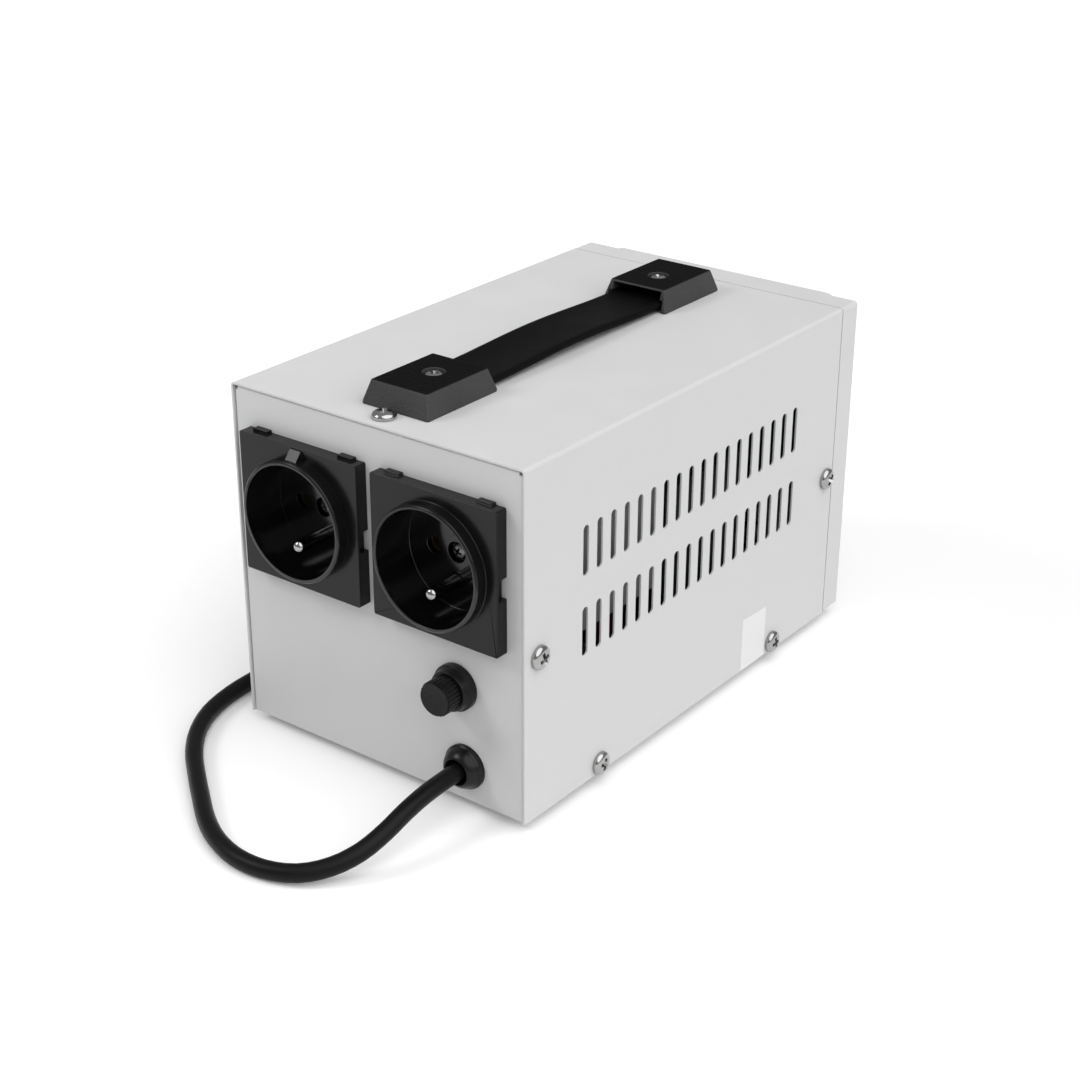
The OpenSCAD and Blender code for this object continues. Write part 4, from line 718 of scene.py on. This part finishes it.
# side is (y, z, turn) on both sides, cap is (y, turn), feet is (x, y)
screwPlaces = {
    "side": [(-7.5, 60, 20), (-188.5, 60, 55), (-42, 4, 75), (-154, 4, 10)],
    "top": (0, -7, case["height"], (0, 0, 1), 30),
    "cap": [(-32, 15), (-163, 50)], "capHeight": case["height"] + 6.2,
    "outletDepth": -9.7, "outletTurn": 25,
    "feet": [(x, y) for x in (-48, 48) for y in (-22, -174)], "footHeight": -1.4,
}
screwSizes = {"cover": 1.2, "cap": 0.95, "outlet": 0.82, "foot": 0.75}
head = headMesh(screwHead)
tree = screwTree()
half = case["width"] / 2
side = [(s * half, y, z, (s, 0, 0), t) for y, z, t in screwPlaces["side"] for s in (-1, 1)]
setScrews("coverScrews", side + [screwPlaces["top"]], screwSizes["cover"], "cover_screws")
setScrews("capScrews", [(0, y, screwPlaces["capHeight"], (0, 0, 1), t) for y, t in screwPlaces["cap"]],
          screwSizes["cap"], "handle_screws")
# The outlet screws take the darker steel, which is painted shade for the recess.
setScrews("outletScrews", [(s * outlet["x"], screwPlaces["outletDepth"], outlet["z"], (0, 1, 0),
                            screwPlaces["outletTurn"] * s) for s in (-1, 1)],
          screwSizes["outlet"], "outlet_screws", "dull_screw")
setScrews("footScrews", [(x, y, screwPlaces["footHeight"], (0, 0, -1), 0) for x, y in screwPlaces["feet"]],
          screwSizes["foot"], "foot_screws")
bpy.data.objects.remove(head)
print("screws set")

# Grommet: a dome with a rolled mouth. dome and mouth are (radius, height) from the brim to the bore.
grommet = {
    "x": -37.3, "z": 13.3, "brim": 8.15, "brimRound": 0.45, "bore": 3.25, "mouthDepth": 2.0, "steps": 64,
    "barrel": 6.7, "barrelStart": 6.6, "barrelBevel": -9.5, "end": -10, "back": -0.6,
    "dome": [(7.62, 1.15), (7.42, 1.75), (7.08, 2.5), (6.6, 3.35), (6.0, 4.1), (5.5, 4.6), (5.1, 4.88),
             (4.85, 4.95)],
    "mouth": [(4.65, 4.8), (4.5, 4.3), (4.2, 3.2), (3.7, 2.4)],
}


def addGrommet(g):
    outline = [(g["bore"], g["end"]), (g["barrelStart"], g["end"]), (g["barrel"], g["barrelBevel"]),
               (g["barrel"], g["back"]), (g["brim"], g["back"]), (g["brim"], g["brimRound"])]
    outline += arc(g["brim"] - g["brimRound"], g["brimRound"], g["brimRound"], 0, 70, 4)
    outline += g["dome"] + g["mouth"] + [(g["bore"], g["mouthDepth"]), (g["bore"], g["end"])]
    mesh = lathe("grommet", outline, inCase(g["x"], 0, g["z"]), (0, 1, 0), g["steps"])
    smooth(mesh, 50)
    dress(newObject("grommet", mesh), "case", "small_plastic", "cord_grommet")


addGrommet(grommet)

# Blank seal sticker over the lower edge of the side
sticker = {"corners": [(-132.5, 0.2), (-149.0, 0.2), (-149.0, 20.6), (-132.5, 21.4)], "thick": 0.1}
finishes["sticker"] = surface("stickerPaper", (0.82, 0.82, 0.82), 0.55, grain=0.2, grainDepth=0.004,
                              cloud=0.01)


def addSticker(s):
    points = [inCase(x, y, z) for x in (-half - s["thick"], -half) for y, z in s["corners"]]
    mesh = meshFrom("sealSticker", points, prismFaces(4))
    outward(mesh)
    obj = newObject("sealSticker", mesh)
    obj.data.materials.append(finishes["sticker"])
    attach(obj, "case")


addSticker(sticker)
print("small pieces made")

# Floor, light and background. A sun's place is the direction it shines from, its size an angle in degrees.
studio = {"floor": 3.0, "floorColour": (0.70, 0.70, 0.70), "floorSeen": (0.95, 0.95, 0.95), "glow": 0.1,
          "world": 0.32, "aim": (0, 0, 0.05),
          "lamps": [("key", "SUN", (-0.62, 0.08, 0.78), 80, 2.36),
                    ("top", "SUN", (0.15, -0.2, 1.0), 70, 0.06),
                    ("rear", "AREA", (0.8, 0.85, 1.05), 0.5, 6.2)]}


# The floor looks paler to the camera and in mirrors than it is as a source of light, and keeps its shadow.
def addFloor(s):
    size = s["floor"]
    corners = [(-size, -size, 0), (size, -size, 0), (size, size, 0), (-size, size, 0)]
    floor = newObject("floor", meshFrom("floor", corners, [(0, 1, 2, 3)]))
    material = bpy.data.materials.new("floorWhite")
    material.use_nodes = True
    n = Nodes(material.node_tree)
    out = n.add("ShaderNodeOutputMaterial")
    plain = n.add("ShaderNodeBsdfDiffuse", {"Color": (*s["floorColour"], 1)})
    shaded = n.add("ShaderNodeBsdfDiffuse", {"Color": (*s["floorSeen"], 1)})
    glow = n.add("ShaderNodeEmission", {"Color": (1, 1, 1, 1), "Strength": s["glow"]})
    rays = n.add("ShaderNodeLightPath")
    seen = n.add("ShaderNodeMath", operation="MAXIMUM")
    shown = n.add("ShaderNodeMath", operation="MAXIMUM")
    add = n.add("ShaderNodeAddShader")
    mix = n.add("ShaderNodeMixShader")
    n.link(rays.outputs["Is Camera Ray"], seen.inputs[0])
    n.link(rays.outputs["Is Glossy Ray"], seen.inputs[1])
    n.link(seen.outputs[0], shown.inputs[0])
    n.link(rays.outputs["Is Transmission Ray"], shown.inputs[1])
    n.link(shaded.outputs[0], add.inputs[0])
    n.link(glow.outputs[0], add.inputs[1])
    n.link(shown.outputs[0], mix.inputs["Fac"])
    n.link(plain.outputs[0], mix.inputs[1])
    n.link(add.outputs[0], mix.inputs[2])
    n.link(mix.outputs[0], out.inputs["Surface"])
    floor.data.materials.append(material)


def addWorld(s):
    world = bpy.data.worlds.new("studio")
    scene.world = world
    world.use_nodes = True
    n = Nodes(world.node_tree)
    out = n.add("ShaderNodeOutputWorld")
    soft = n.add("ShaderNodeBackground", {"Color": (1, 1, 1, 1), "Strength": s["world"]})
    n.link(soft.outputs[0], out.inputs["Surface"])


def addLamps(s):
    for name, kind, place, size, power in s["lamps"]:
        data = bpy.data.lights.new(name, kind)
        data.energy = power
        lamp = newObject(name, data)
        way = -Vector(place)
        if kind == "SUN":
            data.angle = math.radians(size)
        else:
            data.size = size
            lamp.location = place
            way += Vector(s["aim"])
        lamp.rotation_euler = way.to_track_quat("-Z", "Y").to_euler()


addFloor(studio)
addWorld(studio)
addLamps(studio)
scene.view_settings.view_transform = "Standard"
